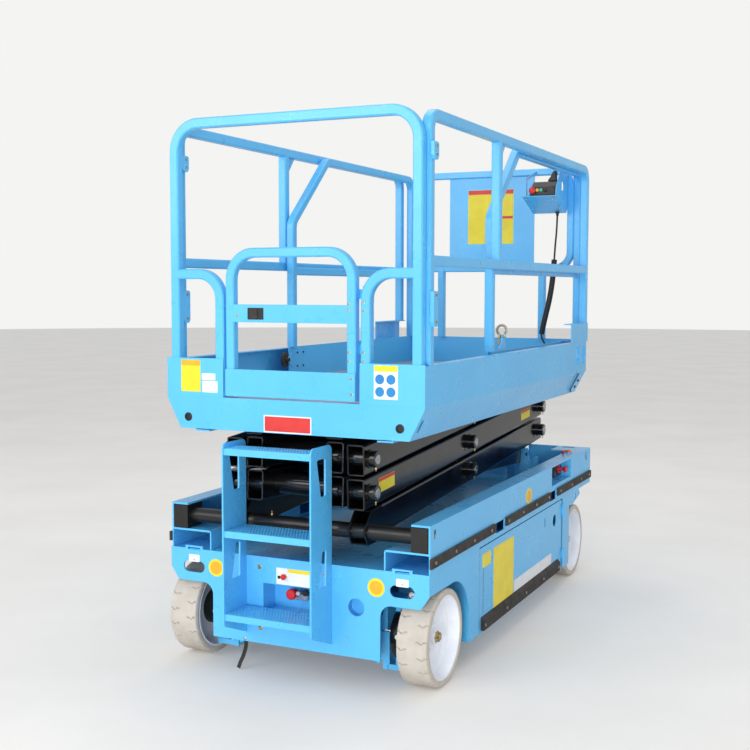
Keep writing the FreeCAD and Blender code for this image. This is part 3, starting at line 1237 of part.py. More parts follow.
def gate():
    """Entry gate: hoop, middle rail panel and toe panel."""
    half = GATE_TUBE / 2.0
    y, top, low = PLATFORM_FRONT + SHEET + half, GATE_TOP - half, GATE_BOTTOM
    left, right = GATE_LEFT + half, GATE_RIGHT - half
    middle = DECK_TOP + GATE_MID_UP
    parts = [square_tube([(left, y, low), (left, y, top), (right, y, top), (right, y, low)], (0, 1, 0),
                         GATE_TUBE,
                         GATE_BEND),
             box((left, right), (y - half, y + half - 12.0), (middle, middle + GATE_MID_HIGH)),
             box((GATE_LEFT, GATE_RIGHT), (y - half - SHEET, y - half),
                 (GATE_BOTTOM, GATE_BOTTOM + GATE_TOE_HIGH))]
    bores, x, hinge = [], GATE_HINGE_X, gate_hinge_y()
    for low in [DECK_TOP + up for up in GATE_HINGE_UPS]:
        z = (low, low + GATE_BARREL_LENGTH)
        parts.append(post(x, hinge, z, GATE_BARREL))
        parts.append(box((GATE_RIGHT - GATE_TUBE, x), (y + half - 1.0, hinge), z))
        bores.append(post(x, hinge, (z[0] - 1.0, z[1] + 1.0), GATE_PIN + RUN_FIT))
    body = fuse(parts)
    for bore in bores:
        body = body.cut(bore)
    return body


# Extension deck

def extension_deck():
    """Roll-out deck plate with low side walls, on glide strips over the main deck."""
    bottom, t = EXT_DECK_BOTTOM, EXT_WALL_SHEET
    y = (EXT_FRONT, EXT_REAR)
    parts = [box((-EXT_HALF, EXT_HALF), y, (bottom, bottom + EXT_SHEET)),
             box((-EXT_HALF, EXT_HALF), (EXT_REAR - t, EXT_REAR), (bottom, bottom + EXT_WALL)),
             box((-EXT_HALF, EXT_HALF), (EXT_FRONT, EXT_FRONT + t), (DECK_TOP + EXT_GLIDE, bottom))]
    for s in (-1, 1):
        parts.append(box((s * (EXT_HALF - t), s * EXT_HALF), y, (bottom, bottom + EXT_WALL)))
        parts.append(box((s * (EXT_HALF - EXT_GLIDE_WIDTH), s * EXT_HALF), y,
                         (DECK_TOP + EXT_GLIDE, bottom)))
    return fuse(parts)


def extension_rail(shift):
    """Side rail of the extension, its front post set back by shift (right side)."""
    half = EXT_TUBE / 2.0
    x, front, rear = EXT_RAIL_OUT - half, EXT_FRONT + half + shift, EXT_REAR - half
    floor, top, middle = EXT_DECK_BOTTOM + EXT_WALL, EXT_TOP_Z - half, EXT_MID_Z - half
    hoop = square_tube([(x, front, floor), (x, front, EXT_KNEE_Z), (x, front + EXT_KNEE_RUN, top),
                        (x, rear, top),
                        (x, rear, floor)], (1, 0, 0), EXT_TUBE, RAIL_BEND)
    mid = square_tube([(x, front, middle), (x, rear, middle)], (1, 0, 0), EXT_TUBE, 0)
    return fuse([hoop, mid])


def extension_end():
    """Closed end guard loop on two posts, with its panel."""
    y, tube = EXT_REAR - EXT_TUBE / 2.0, EXT_TUBE / 2.0
    half = EXT_RAIL_OUT - EXT_TUBE - tube
    low, top = END_LOW_Z - tube, END_TOP_Z - tube
    halves = [square_tube([(0, y, low), (s * half, y, low), (s * half, y, top), (0, y, top)], (0, 1, 0),
                          EXT_TUBE,
                          END_BEND) for s in (-1, 1)]
    posts = [square_tube([(x, y, EXT_DECK_BOTTOM + EXT_WALL), (x, y, low)], (0, 1, 0), EXT_TUBE, 0)
             for x in (-END_POST_X, END_POST_X)]
    panel = box((-PANEL_HALF, PANEL_HALF), (y - PANEL_SHEET, y), (low, top))
    return fuse(halves + [panel] + posts)


# Upper controls

def console_bracket():
    """Inclined tray with a holed cheek and a strap, hung on the extension's end guard."""
    front, back = CONSOLE_FRONT, CONSOLE_BACK
    y_end, top, t = EXT_REAR - EXT_TUBE, EXT_TOP_Z, CONSOLE_SHEET
    floor = plate_yz([front, back, (back[0], back[1] + t), (front[0], front[1] + t)], CONSOLE_X)
    x = CONSOLE_X[1]
    cheek = plate_yz([front, back, (y_end, back[1] + 40.0), (y_end, top), (front[0] + 90.0, top),
                      (front[0], front[1] + 40.0)], (x, x + t))
    hole = bar((x - 1.0, x + t + 1.0), front[0] + 120.0, front[1] + 60.0, CONSOLE_HOLE)
    x = CONSOLE_X[0]
    slope = (back[1] - front[1]) / (back[0] - front[0])
    strap = plate_yz([(front[0] + 60.0, front[1] + 60.0 * slope),
                      (front[0] + 76.0, front[1] + 76.0 * slope),
                      (front[0] + 76.0, top - 60.0), (y_end, top - 16.0), (y_end, top),
                      (front[0] + 60.0, top - 52.0)],
                     (x, x + t))
    return fuse([floor, cheek.cut(hole), strap])


def console_box():
    """Wedge-shaped control box that rests on the tray."""
    front, back, t = CONSOLE_FRONT, CONSOLE_BACK, CONSOLE_SHEET
    slope = (back[1] - front[1]) / (back[0] - front[0])
    y0, y1 = front[0] + 10.0, front[0] + 10.0 + CONSOLE_BOX_LONG
    low = [(y, front[1] + t + slope * (y - front[0])) for y in (y0, y1)]
    return plate_yz([low[0], low[1], (y1, front[1] + CONSOLE_BOX_HIGH),
                     (y1 - 46.0, front[1] + CONSOLE_BOX_HIGH),
                     (y0, low[0][1] + 34.0)], CONSOLE_BOX_X)


def cord_points(rows):
    """Places of a cord's rows."""
    return [(EXT_HALF - row[0], EXT_REAR - row[1], row[2]) for row in rows]


def cord(name, points, radius):
    """Round cord of straight runs joined by tangent arcs."""
    points = [V(*p) for p in points]
    edges, start, radii = [], points[0], []
    for i in range(1, len(points) - 1):
        into, away = points[i - 1] - points[i], points[i + 1] - points[i]
        run = min(into.Length, away.Length)
        half = into.getAngle(away) / 2.0
        reach = 0.45 * run
        bend = reach * math.tan(half)
        radii.append(bend)
        into, away = into.normalize(), away.normalize()
        first, last = points[i] + into * reach, points[i] + away * reach
        middle = (into + away).normalize()
        centre = points[i] + middle * (bend / math.sin(half))
        edges += [Part.makeLine(start, first), Part.Arc(first, centre - middle * bend, last).toShape()]
        start = last
    edges.append(Part.makeLine(start, points[-1]))
    print(name, "bend radii", [round(r) for r in radii])
    circle = Part.Wire(Part.makeCircle(radius, points[0], points[1] - points[0]))
    return Part.Wire(edges).makePipeShell([circle], True, False)


def export(name, shapes):
    """Write one node's solids as parts/NAME.step."""
    shape = shapes[0] if len(shapes) == 1 else Part.makeCompound(shapes)
    if not shape.isValid():
        print("not valid:", name)
    shape.exportStep("parts/%s.step" % name)


def main():
    os.makedirs("parts", exist_ok=True)
    rail = side_rail()
    export("side_rail_right", [rail])
    export("side_rail_left", [mirrored(rail)])
    export("arch_plate_right", [arch_plate()])
    export("arch_plate_left", [mirrored(arch_plate())])
    export("chassis_deck", [chassis_deck()])
    export("rear_frame", [rear_frame()])
    export("front_plate", [front_plate()])
    export("ladder", [ladder()])
    export("rail_bumpers", [rail_bumpers()])
    export("steer_axle", [steer_axle()])
    export("rear_axle", [rear_axle()])
    front, rear = (FRONT_AXLE_Y, FRONT_WHEEL_OUT), (REAR_AXLE_Y, REAR_WHEEL_OUT)
    for name, side, place in (("front_right", 1, front), ("front_left", -1, front),
                              ("rear_right", 1, rear), ("rear_left", -1, rear)):
        tyre, rim = wheel(side, *place)
        export("tyre_" + name, [tyre])
        export("rim_" + name, [rim])
    for name, side in (("right", 1), ("left", -1)):
        export("knuckle_" + name, [knuckle(side)])
        export("drive_motor_" + name, [drive_motor(side)])
    door, strip = tray_hinges(tray()), tray_bumper()
    export("tray_right", [door])
    export("tray_left", [mirrored(door)])
    export("tray_bumper_right", [strip])
    export("tray_bumper_left", [mirrored(strip)])
    export("battery_block", [tray_load(BATTERY_HIGH)])
    export("power_unit_block", [mirrored(tray_load(POWER_UNIT_HIGH))])
    for level in range(3):
        export("inner_arms_%d" % (level + 1), [inner_arms(level)])
        export("outer_arms_%d" % (level + 1), [outer_arms(level)])
    export("lower_slider", [lower_slider()])
    export("upper_slider", [upper_slider()])
    export("cylinder_barrel", [cylinder_barrel()])
    export("cylinder_rod", [cylinder_rod()])
    export("platform_frame", [platform_frame()])
    skirt = side_skirt()
    export("side_skirts", [skirt, mirrored(skirt)])
    export("end_skirts", [end_skirt((PLATFORM_FRONT, PLATFORM_FRONT + SHEET)), rear_skirt()])
    export("toe_plates", toe_plates())
    export("rear_boxes", rear_boxes())
    export("front_guard", [front_guard()])
    export("side_guard_right", [side_guard(RAIL_POST_RIGHT)])
    export("side_guard_left", [mirrored(side_guard(RAIL_POST_LEFT))])
    export("gate", [gate()])
    export("extension_deck", [extension_deck()])
    export("extension_rail_right", [extension_rail(0.0)])
    export("extension_rail_left", [mirrored(extension_rail(EXT_LEFT_SHIFT))])
    export("extension_end", [extension_end()])
    export("console_bracket", [console_bracket()])
    export("console_box", [console_box()])
    export("control_cable", [cord("cable", cord_points(CABLE_ROWS), CABLE_RADIUS),
                             cord("tail", cord_points(TAIL_ROWS), CABLE_RADIUS)])
    export("cable_sleeve", [cord("sleeve", cord_points(SLEEVE_ROWS), SLEEVE_RADIUS)])


main()
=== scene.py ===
import bmesh
import bpy
import math
import numpy as np
from bpy.props import FloatProperty, IntProperty, PointerProperty, StringProperty
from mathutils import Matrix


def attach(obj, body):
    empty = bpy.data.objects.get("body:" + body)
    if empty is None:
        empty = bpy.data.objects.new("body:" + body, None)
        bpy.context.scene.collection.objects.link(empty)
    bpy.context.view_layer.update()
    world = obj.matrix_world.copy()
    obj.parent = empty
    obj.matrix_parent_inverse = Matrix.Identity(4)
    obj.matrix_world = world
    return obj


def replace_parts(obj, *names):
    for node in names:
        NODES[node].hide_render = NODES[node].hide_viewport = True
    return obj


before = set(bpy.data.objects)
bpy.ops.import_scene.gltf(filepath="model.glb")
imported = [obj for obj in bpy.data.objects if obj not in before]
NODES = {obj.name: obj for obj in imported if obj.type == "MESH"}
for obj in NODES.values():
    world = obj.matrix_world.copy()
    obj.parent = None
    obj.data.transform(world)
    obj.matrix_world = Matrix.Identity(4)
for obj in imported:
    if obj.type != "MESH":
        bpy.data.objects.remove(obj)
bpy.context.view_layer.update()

bl_info = {
    "name": "Scissor lift dressing",
    "version": (1, 0, 0),
    "blender": (4, 5, 0),
    "location": "3D View > Sidebar > Scissor lift",
    "description": "Finishes, fasteners, plates, tyres and cables of a self-propelled scissor lift",
    "category": "Object",
}

# Directions in which a flat piece can face: (right, up, out), seen from outside
FRONT = ((1, 0, 0), (0, 0, 1), (0, -1, 0))
REAR = ((-1, 0, 0), (0, 0, 1), (0, 1, 0))
RIGHT = ((0, 1, 0), (0, 0, 1), (1, 0, 0))
LEFT = ((0, -1, 0), (0, 0, 1), (-1, 0, 0))
TOP = ((1, 0, 0), (0, 1, 0), (0, 0, 1))
UNDER = ((1, 0, 0), (0, -1, 0), (0, 0, -1))
ARM_TILT = math.atan2(132.0, 2196.0)
ALONG_ARM = ((0, math.cos(ARM_TILT), math.sin(ARM_TILT)), (0, -math.sin(ARM_TILT), math.cos(ARM_TILT)), (1, 0, 0))


# Shapes.  A shape is its points, as rows of x, y and z in millimetres, and a list of face arrays.

def over_grid(points, wrap_u=False, wrap_v=False):
    """Skin over points[u, v]: each cell joins its four corners, and a wrapped side joins last to first."""
    nu, nv = points.shape[:2]
    u, v = np.meshgrid(np.arange(nu if wrap_u else nu - 1), np.arange(nv if wrap_v else nv - 1), indexing="ij")
    a, b = u * nv + v, (u + 1) % nu * nv + v
    c, d = (u + 1) % nu * nv + (v + 1) % nv, u * nv + (v + 1) % nv
    return points.reshape(-1, 3), [np.stack([a, b, c, d], -1).reshape(-1, 4)]


def joined(shapes):
    """Several shapes as one: the face numbers move up by the points that come before."""
    points, faces, count = [], [], 0
    for p, f in shapes:
        points.append(p)
        faces += [a + count for a in f]
        count += len(p)
    return np.concatenate(points), faces


def put(shape, at, facing):
    """Shape moved to a place: at + x * right + y * up + z * out."""
    return np.asarray(at, float) + shape[0] @ np.asarray(facing, float), shape[1]


def mirrored(shape):
    """Shape on the other side of the machine: x becomes -x."""
    return shape[0] * np.array([-1.0, 1.0, 1.0]), shape[1]


def both_sides(shape):
    return joined([shape, mirrored(shape)])


def turned(profile, sides=24, phase=0.0):
    """Solid of revolution round z: (r cos t, r sin t, h) for each (h, r) of the profile, closed at both ends."""
    profile = np.asarray(profile, float)
    t = np.arange(sides) * 2 * np.pi / sides + phase
    h, r = profile[:, 0], profile[:, 1]
    points = np.stack([np.cos(t)[:, None] * r, np.sin(t)[:, None] * r, np.broadcast_to(h, (sides, len(h)))], -1)
    shape = over_grid(points, wrap_u=True)
    rim = np.arange(sides) * len(h)
    return shape[0], shape[1] + [rim[None, ::-1], rim[None, :] + len(h) - 1]


def rounded(width, height, radius, steps=5):
    """Outline of a round-cornered rectangle: corner centre + radius * (cos t, sin t), quarter by quarter."""
    t = np.linspace(0, np.pi / 2, steps)[None, :] + np.arange(4)[:, None] * np.pi / 2
    cx = (width / 2 - radius) * np.array([1, -1, -1, 1])[:, None]
    cy = (height / 2 - radius) * np.array([1, 1, -1, -1])[:, None]
    return np.stack([cx + radius * np.cos(t), cy + radius * np.sin(t)], -1).reshape(-1, 2)


def oval(width, height, steps=32):
    """Ellipse outline: (w/2 cos t, h/2 sin t)."""
    t = np.arange(steps) * 2 * np.pi / steps
    return np.stack([width / 2 * np.cos(t), height / 2 * np.sin(t)], -1)


def slab(outline, low, high, edge=0.0):
    """Flat piece on an outline from z = low to high; each ring's points move in by edge along their normals."""
    outline = np.asarray(outline, float)
    ahead, behind = np.roll(outline, -1, 0) - outline, outline - np.roll(outline, 1, 0)
    way = ahead / np.linalg.norm(ahead, axis=1)[:, None] + behind / np.linalg.norm(behind, axis=1)[:, None]
    way /= np.linalg.norm(way, axis=1)[:, None]
    inner = outline - np.stack([way[:, 1], -way[:, 0]], -1) * edge
    rings = [(outline, low), (outline, high - edge), (inner, high)] if edge else [(outline, low), (outline, high)]
    points = np.stack([np.column_stack([ring, np.full(len(ring), z)]) for ring, z in rings], 1)
    shape = over_grid(points, wrap_u=True)
    rim = np.arange(len(outline)) * len(rings)
    return shape[0], shape[1] + [rim[None, ::-1], rim[None, :] + len(rings) - 1]


def softened(points, turns=3):
    """Smooth line through a route: each pass cuts every corner at a quarter and three quarters of its runs."""
    points = np.asarray(points, float)
    for _ in range(turns):
        a, b = points[:-1], points[1:]
        cut = np.stack([0.75 * a + 0.25 * b, 0.25 * a + 0.75 * b], 1).reshape(-1, 3)
        points = np.concatenate([points[:1], cut, points[-1:]])
    return points


def along(path, section, across=(0, 0, 1)):
    """Section (x, y) carried along a path: p + x * side + y * rise, side = tangent cross the given direction."""
    path, section = np.asarray(path, float), np.asarray(section, float)
    way = np.gradient(path, axis=0)
    way /= np.linalg.norm(way, axis=1)[:, None]
    side = np.cross(way, np.asarray(across, float))
    side /= np.linalg.norm(side, axis=1)[:, None]
    rise = np.cross(side, way)
    points = path[:, None] + section[None, :, :1] * side[:, None] + section[None, :, 1:] * rise[:, None]
    shape = over_grid(points, wrap_v=True)
    n = len(section)
    return shape[0], shape[1] + [np.arange(n)[None, :], (np.arange(n) + (len(path) - 1) * n)[None, ::-1]]


def ring_section(radius, sides=12):
    t = np.arange(sides) * 2 * np.pi / sides
    return np.stack([radius * np.cos(t), radius * np.sin(t)], -1)


def spread(shape, places, facing):
    """The same shape at each of several places, facing one way."""
    return joined([put(shape, at, facing) for at in places])


# Fasteners

def hex_bolt(size, washer=True):
    """Hexagon head on a washer: turned profiles with six sides for the head and 20 for the washer."""
    head = turned([(0, 0), (0, size * 0.86), (size * 0.55, size * 0.86), (size * 0.66, size * 0.74), (size * 0.66, 0)], 6)
    if not washer:
        return head
    ring = turned([(0, 0), (0, size * 1.15), (size * 0.16, size * 1.15), (size * 0.2, size * 1.08), (size * 0.2, 0)], 20)
    return joined([ring, (head[0] + [0, 0, size * 0.2], head[1])])


def socket_screw(size):
    """Button head: a low dome with a round pocket, one turned profile with its pocket as the last rings."""
    dome = [(0, 0), (0, size), (size * 0.22, size * 0.97), (size * 0.45, size * 0.78), (size * 0.52, size * 0.5),
            (size * 0.3, size * 0.46), (size * 0.3, 0)]
    return turned(dome, 18)


# Finishes

def linear(text):
    """Linear colour of an sRGB hex value."""
    parts = [int(text[i:i + 2], 16) / 255 for i in (1, 3, 5)]
    return tuple(c / 12.92 if c <= 0.04045 else ((c + 0.055) / 1.055) ** 2.4 for c in parts) + (1.0,)


def add(tree, kind, settings=(), links=()):
    """Adds one node; a setting is a socket's value where a socket has that name, or else a property."""
    node = tree.nodes.new(kind)
    for key, value in dict(settings).items():
        if isinstance(key, int) or key in node.inputs:
            node.inputs[key].default_value = value
        else:
            setattr(node, key, value)
    for key, source in dict(links).items():
        tree.links.new(source, node.inputs[key])
    return node


def finish(name, colour, shade, mottle, rough, vary, grain, depth, metallic=0.0, coat=0.0, coat_rough=0.1,
           edge=0.0, strength=1.0, dust=0.0, ior=1.5, extra=None):
    """Material of two close tones with a fine relief.

    Tone: noise with cells of mottle mm mixes colour and shade.  Roughness: noise of 90 mm cells, rough +- vary.
    Relief: noise with cells of grain mm, depth mm high.  Edge: worn radius in mm.  Dust: pale film on upward faces.
    """
    material = bpy.data.materials.new(name)
    material.use_nodes = True
    tree = material.node_tree
    tree.nodes.clear()
    place = add(tree, "ShaderNodeTexCoord").outputs["Object"]
    cells = add(tree, "ShaderNodeTexNoise", {"Scale": 1000 / mottle, "Detail": 4.0, "Roughness": 0.55}, {"Vector": place})
    tone = add(tree, "ShaderNodeMapRange", {"From Min": 0.36, "From Max": 0.64}, {"Value": cells.outputs["Fac"]})
    mix = add(tree, "ShaderNodeMix", {"data_type": "RGBA", 6: linear(colour), 7: linear(shade)},
              {0: tone.outputs["Result"]})
    tint = mix.outputs[2]
    if dust:
        up = add(tree, "ShaderNodeNewGeometry").outputs["Normal"]
        split = add(tree, "ShaderNodeSeparateXYZ", {}, {0: up})
        film = add(tree, "ShaderNodeTexNoise", {"Scale": 1000 / 160, "Detail": 6.0}, {"Vector": place})
        amount = add(tree, "ShaderNodeMath", {"operation": "MULTIPLY"}, {0: split.outputs["Z"], 1: film.outputs["Fac"]})
        fade = add(tree, "ShaderNodeMapRange", {"From Min": 0.3, "From Max": 0.8, "To Max": dust},
                   {"Value": amount.outputs[0]})
        tint = add(tree, "ShaderNodeMix", {"data_type": "RGBA", 7: linear("#B9B2A6")},
                   {0: fade.outputs["Result"], 6: tint}).outputs[2]
    wear = add(tree, "ShaderNodeTexNoise", {"Scale": 1000 / 90, "Detail": 5.0}, {"Vector": place})
    gloss = add(tree, "ShaderNodeMapRange", {"From Min": 0.3, "From Max": 0.7, "To Min": max(rough - vary, 0.02),
                                             "To Max": rough + vary}, {"Value": wear.outputs["Fac"]})
    relief = add(tree, "ShaderNodeTexNoise", {"Scale": 1000 / grain, "Detail": 3.0}, {"Vector": place})
    bump = add(tree, "ShaderNodeBump", {"Strength": strength, "Distance": depth / 1000},
               {"Height": relief.outputs["Fac"]})
    if edge:
        worn = add(tree, "ShaderNodeBevel", {"samples": 4, "Radius": edge / 1000})
        tree.links.new(worn.outputs[0], bump.inputs["Normal"])
    shader = add(tree, "ShaderNodeBsdfPrincipled", {"Metallic": metallic, "IOR": ior, "Coat Weight": coat,
                                                    "Coat Roughness": coat_rough},
                 {"Base Color": tint, "Roughness": gloss.outputs["Result"], "Normal": bump.outputs[0]})
    add(tree, "ShaderNodeOutputMaterial", {}, {"Surface": shader.outputs[0]})
    if extra:
        extra(tree, place, shader, bump)
    return material


def checker_relief(tree, place, shader, bump):
    """Grey sheet with raised lozenges of 26 mm pitch on the floors, each next cell's turned by a quarter."""
    def work(operation, a, b=0.0, c=None):
        node = add(tree, "ShaderNodeMath", {"operation": operation})
        for i, value in enumerate((a, b) if c is None else (a, b, c)):
            if hasattr(value, "links"):
                tree.links.new(value, node.inputs[i])
            else:
                node.inputs[i].default_value = value
        return node.outputs[0]

    axes = add(tree, "ShaderNodeSeparateXYZ", {}, {0: place})
    up = add(tree, "ShaderNodeSeparateXYZ", {}, {0: add(tree, "ShaderNodeNewGeometry").outputs["True Normal"]})
    floor = work("MULTIPLY", work("GREATER_THAN", up.outputs[2], 0.95), work("LESS_THAN", axes.outputs[2], 1.119))
    x, y = work("MULTIPLY", axes.outputs[0], 1000 / 26), work("MULTIPLY", axes.outputs[1], 1000 / 26)
    turn = work("SUBTRACT", work("MULTIPLY", work("PINGPONG", work("ADD", work("FLOOR", x), work("FLOOR", y)), 1.0), 2.0), 1.0)
    u, v = work("SUBTRACT", work("FRACT", x), 0.5), work("MULTIPLY", work("SUBTRACT", work("FRACT", y), 0.5), turn)
    long_way, short_way = work("MULTIPLY", work("ADD", u, v), 1.7), work("MULTIPLY", work("SUBTRACT", u, v), 6.0)
    inside = work("ADD", work("POWER", work("ABSOLUTE", long_way), 2.0), work("POWER", work("ABSOLUTE", short_way), 2.0))
    height = add(tree, "ShaderNodeMapRange", {"From Min": 1.1, "From Max": 0.5}, {"Value": inside})
    mask = work("MULTIPLY", height.outputs[0], floor)
    sheet = add(tree, "ShaderNodeMix", {"data_type": "RGBA", 7: linear("#A9ABAE")},
                {0: floor, 6: shader.inputs["Base Color"].links[0].from_socket})
    tree.links.new(sheet.outputs[2], shader.inputs["Base Color"])
    second = add(tree, "ShaderNodeBump", {"Strength": 1.0, "Distance": 0.0016}, {"Height": mask, "Normal": bump.outputs[0]})
    tree.links.new(second.outputs[0], shader.inputs["Normal"])


def ribbed_relief(tree, place, shader, bump):
    """Corrugated sleeve: rings of 5 mm pitch up the hose."""
    rings = add(tree, "ShaderNodeTexWave", {"bands_direction": "Z", "Scale": 1000 / 5 / 6.283 * 1.0}, {"Vector": place})
    second = add(tree, "ShaderNodeBump", {"Strength": 0.8, "Distance": 0.0012},
                 {"Height": rings.outputs["Fac"], "Normal": bump.outputs[0]})
    tree.links.new(second.outputs[0], shader.inputs["Normal"])


def make_finishes():
    """All finishes, named by the real material and how its surface was made."""
    return {
        # Polyester powder coat on steel: even satin-gloss blue, faint orange peel, soft bright edges
        "blue": finish("powder_coated_steel_blue", "#5CC0F7", "#57BAF2", 420, 0.30, 0.05, 16, 0.012, edge=1.8, dust=0.05,
                       coat=0.2, coat_rough=0.12),
        # The same coat on the decks' edges and walls, with grey raised-lozenge sheet laid on their floors
        "deck": finish("powder_coated_steel_with_checker_sheet", "#5CC0F7", "#57BAF2", 420, 0.34, 0.06, 16, 0.012,
                       edge=1.2, extra=checker_relief),
        # Two-pack gloss enamel on rolled tube: near black, long clear reflections that waver
        "black": finish("gloss_enamel_black", "#0D0D0E", "#131314", 260, 0.16, 0.05, 55, 0.05, edge=2.4, coat=0.15,
                        coat_rough=0.06),
        # Satin enamel on castings
        "dark": finish("satin_enamel_black", "#131312", "#1B1A19", 80, 0.34, 0.08, 3, 0.06, edge=1.2),
        # Non-marking polyurethane tread: warm pale grey, rubbed and dusty
        "tyre": finish("non_marking_rubber", "#C8C1B7", "#BDB5AA", 60, 0.78, 0.08, 5, 0.05, dust=0.05),
        # Stove enamel on pressed rims: cool off-white
        "rim": finish("stove_enamel_pale", "#F2F5FB", "#E7EBF3", 120, 0.36, 0.07, 2.5, 0.03, edge=1.5),
        # Extruded rubber strip: dull brown-black with a dry bloom
        "strip": finish("extruded_rubber_black", "#38332F", "#2B2724", 45, 0.72, 0.08, 1.1, 0.08, edge=1.5, dust=0.12),
        # Ground hard chrome
        "chrome": finish("ground_hard_chrome", "#C9CACC", "#BFC0C3", 60, 0.12, 0.04, 0.9, 0.01, metallic=1.0),
        # Zinc plate with a yellow passivation
        "zinc": finish("yellow_zinc_plate", "#C9B98C", "#B59A62", 9, 0.34, 0.08, 1.5, 0.03, metallic=1.0, edge=0.4),
        # Bright zinc plate
        "pewter": finish("dulled_zinc_plate", "#A9A294", "#8B8475", 9, 0.40, 0.08, 1.5, 0.03, metallic=1.0, edge=0.4),
        "steel": finish("bright_zinc_plate", "#C4C6C9", "#A9ABAF", 8, 0.30, 0.08, 1.2, 0.03, metallic=1.0, edge=0.4),
        # Moulded ABS housings; the black one also serves as painted shade in slots and recesses of the chassis sides
        "case": finish("moulded_abs_black_and_painted_shade", "#0F1011", "#151617", 30, 0.42, 0.06, 0.8, 0.05, edge=0.8),
        "red_knob": finish("moulded_nylon_red", "#D8252B", "#C41E26", 25, 0.30, 0.05, 2, 0.02, edge=0.6),
        "yellow_knob": finish("moulded_nylon_yellow", "#F1C21B", "#E6B414", 25, 0.30, 0.05, 2, 0.02),
        "green_knob": finish("moulded_nylon_green", "#35C9A2", "#2BB894", 25, 0.28, 0.05, 2, 0.02),
        "amber": finish("moulded_acrylic_amber", "#F07A1A", "#E56A10", 20, 0.16, 0.03, 4, 0.02, coat=0.5),
        # Calendered vinyl sheets, printed plain
        "yellow_film": finish("calendered_vinyl_yellow", "#F2DE2E", "#E9D324", 70, 0.38, 0.05, 1.4, 0.01),
        "amber_film": finish("calendered_vinyl_amber", "#F6B32C", "#EDA61F", 70, 0.38, 0.05, 1.4, 0.01),
        "white_film": finish("calendered_vinyl_white", "#EDEEF0", "#E3E5E9", 70, 0.36, 0.05, 1.4, 0.01),
        "red_film": finish("calendered_vinyl_red", "#DD3A35", "#D3302D", 70, 0.38, 0.05, 1.4, 0.01),
        "blue_film": finish("calendered_vinyl_blue", "#1F86C8", "#1B7DBE", 70, 0.38, 0.05, 1.4, 0.01),
        # Flexible PVC sheath and corrugated polyamide sleeve
        "sheath": finish("extruded_pvc_black", "#141414", "#1A1A1A", 20, 0.42, 0.06, 1.2, 0.02),
        "sleeve": finish("corrugated_polyamide_black", "#131313", "#1A1A19", 20, 0.44, 0.06, 1.2, 0.02, extra=ribbed_relief),
    }


FINISHES = {}

NODE_FINISH = (("tyre_", "tyre"), ("rim_", "rim"), ("rail_bumpers", "strip"), ("tray_bumper", "strip"),
               ("inner_arms", "black"), ("outer_arms", "black"), ("lower_slider", "dark"), ("upper_slider", "dark"),
               ("cylinder_rod", "chrome"), ("cylinder_barrel", "dark"), ("drive_motor", "dark"),
               ("battery_block", "case"), ("power_unit_block", "case"), ("console_box", "case"),
               ("control_cable", "sheath"), ("cable_sleeve", "sleeve"), ("extension_deck", "deck"),
               ("platform_frame", "deck"))


def piece(name, body, parts, smooth=35):
    """Mesh object of (shape, finish) parts in mm, welded, faced outwards, with edges over the angle kept sharp."""
    if isinstance(parts, tuple):
        parts = [parts]
    points, faces = joined([shape for shape, _ in parts])
    mesh = bpy.data.meshes.new(name)
    mesh.from_pydata((points / 1000).tolist(), [], [row for f in faces for row in f.tolist()])
    finishes = sorted({f for _, f in parts})
    for f in finishes:
        mesh.materials.append(FINISHES[f])
    numbers = np.concatenate([np.full(sum(len(f) for f in shape[1]), finishes.index(mat)) for shape, mat in parts])
    mesh.polygons.foreach_set("material_index", numbers.astype(np.int32))
    work = bmesh.new()
    work.from_mesh(mesh)
    bmesh.ops.remove_doubles(work, verts=work.verts, dist=2e-6)
    bmesh.ops.recalc_face_normals(work, faces=work.faces)
    work.to_mesh(mesh)
    work.free()
    mesh.polygons.foreach_set("use_smooth", np.ones(len(mesh.polygons), bool))
    mesh.set_sharp_from_angle(angle=math.radians(smooth))
    obj = bpy.data.objects.new(name, mesh)
    bpy.context.scene.collection.objects.link(obj)
    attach(obj, body)
    return obj


# Settings that a user may change

class LIFT_PG_wheels(bpy.types.PropertyGroup):
    groove_depth: FloatProperty(name="Groove depth", description="Depth of the tread grooves", default=0.0065,
                                min=0.0, max=0.008, unit="LENGTH")
    groove_width: FloatProperty(name="Groove width", description="Width of the tread grooves", default=0.0062,
                                min=0.002, max=0.012, unit="LENGTH")
    cuts: IntProperty(name="Cuts", description="Cuts in each shoulder of a tyre", default=19, min=8, max=40)


class LIFT_PG_treads(bpy.types.PropertyGroup):
    pitch: FloatProperty(name="Grip pitch", description="Distance between the raised studs of a tread", default=0.013,
                         min=0.006, max=0.04, unit="LENGTH")
    height: FloatProperty(name="Grip height", description="Height of the raised studs", default=0.0020, min=0.0,
                          max=0.005, unit="LENGTH")


class LIFT_PG_stage(bpy.types.PropertyGroup):
    lens: FloatProperty(name="Lens", description="Focal length on a 36 mm sensor, in millimetres", default=54.52,
                        min=20.0, max=200.0)
    floor: StringProperty(name="Floor colour", description="Colour of the floor, as sRGB hex", default="#E4E1DC")


# Wheels

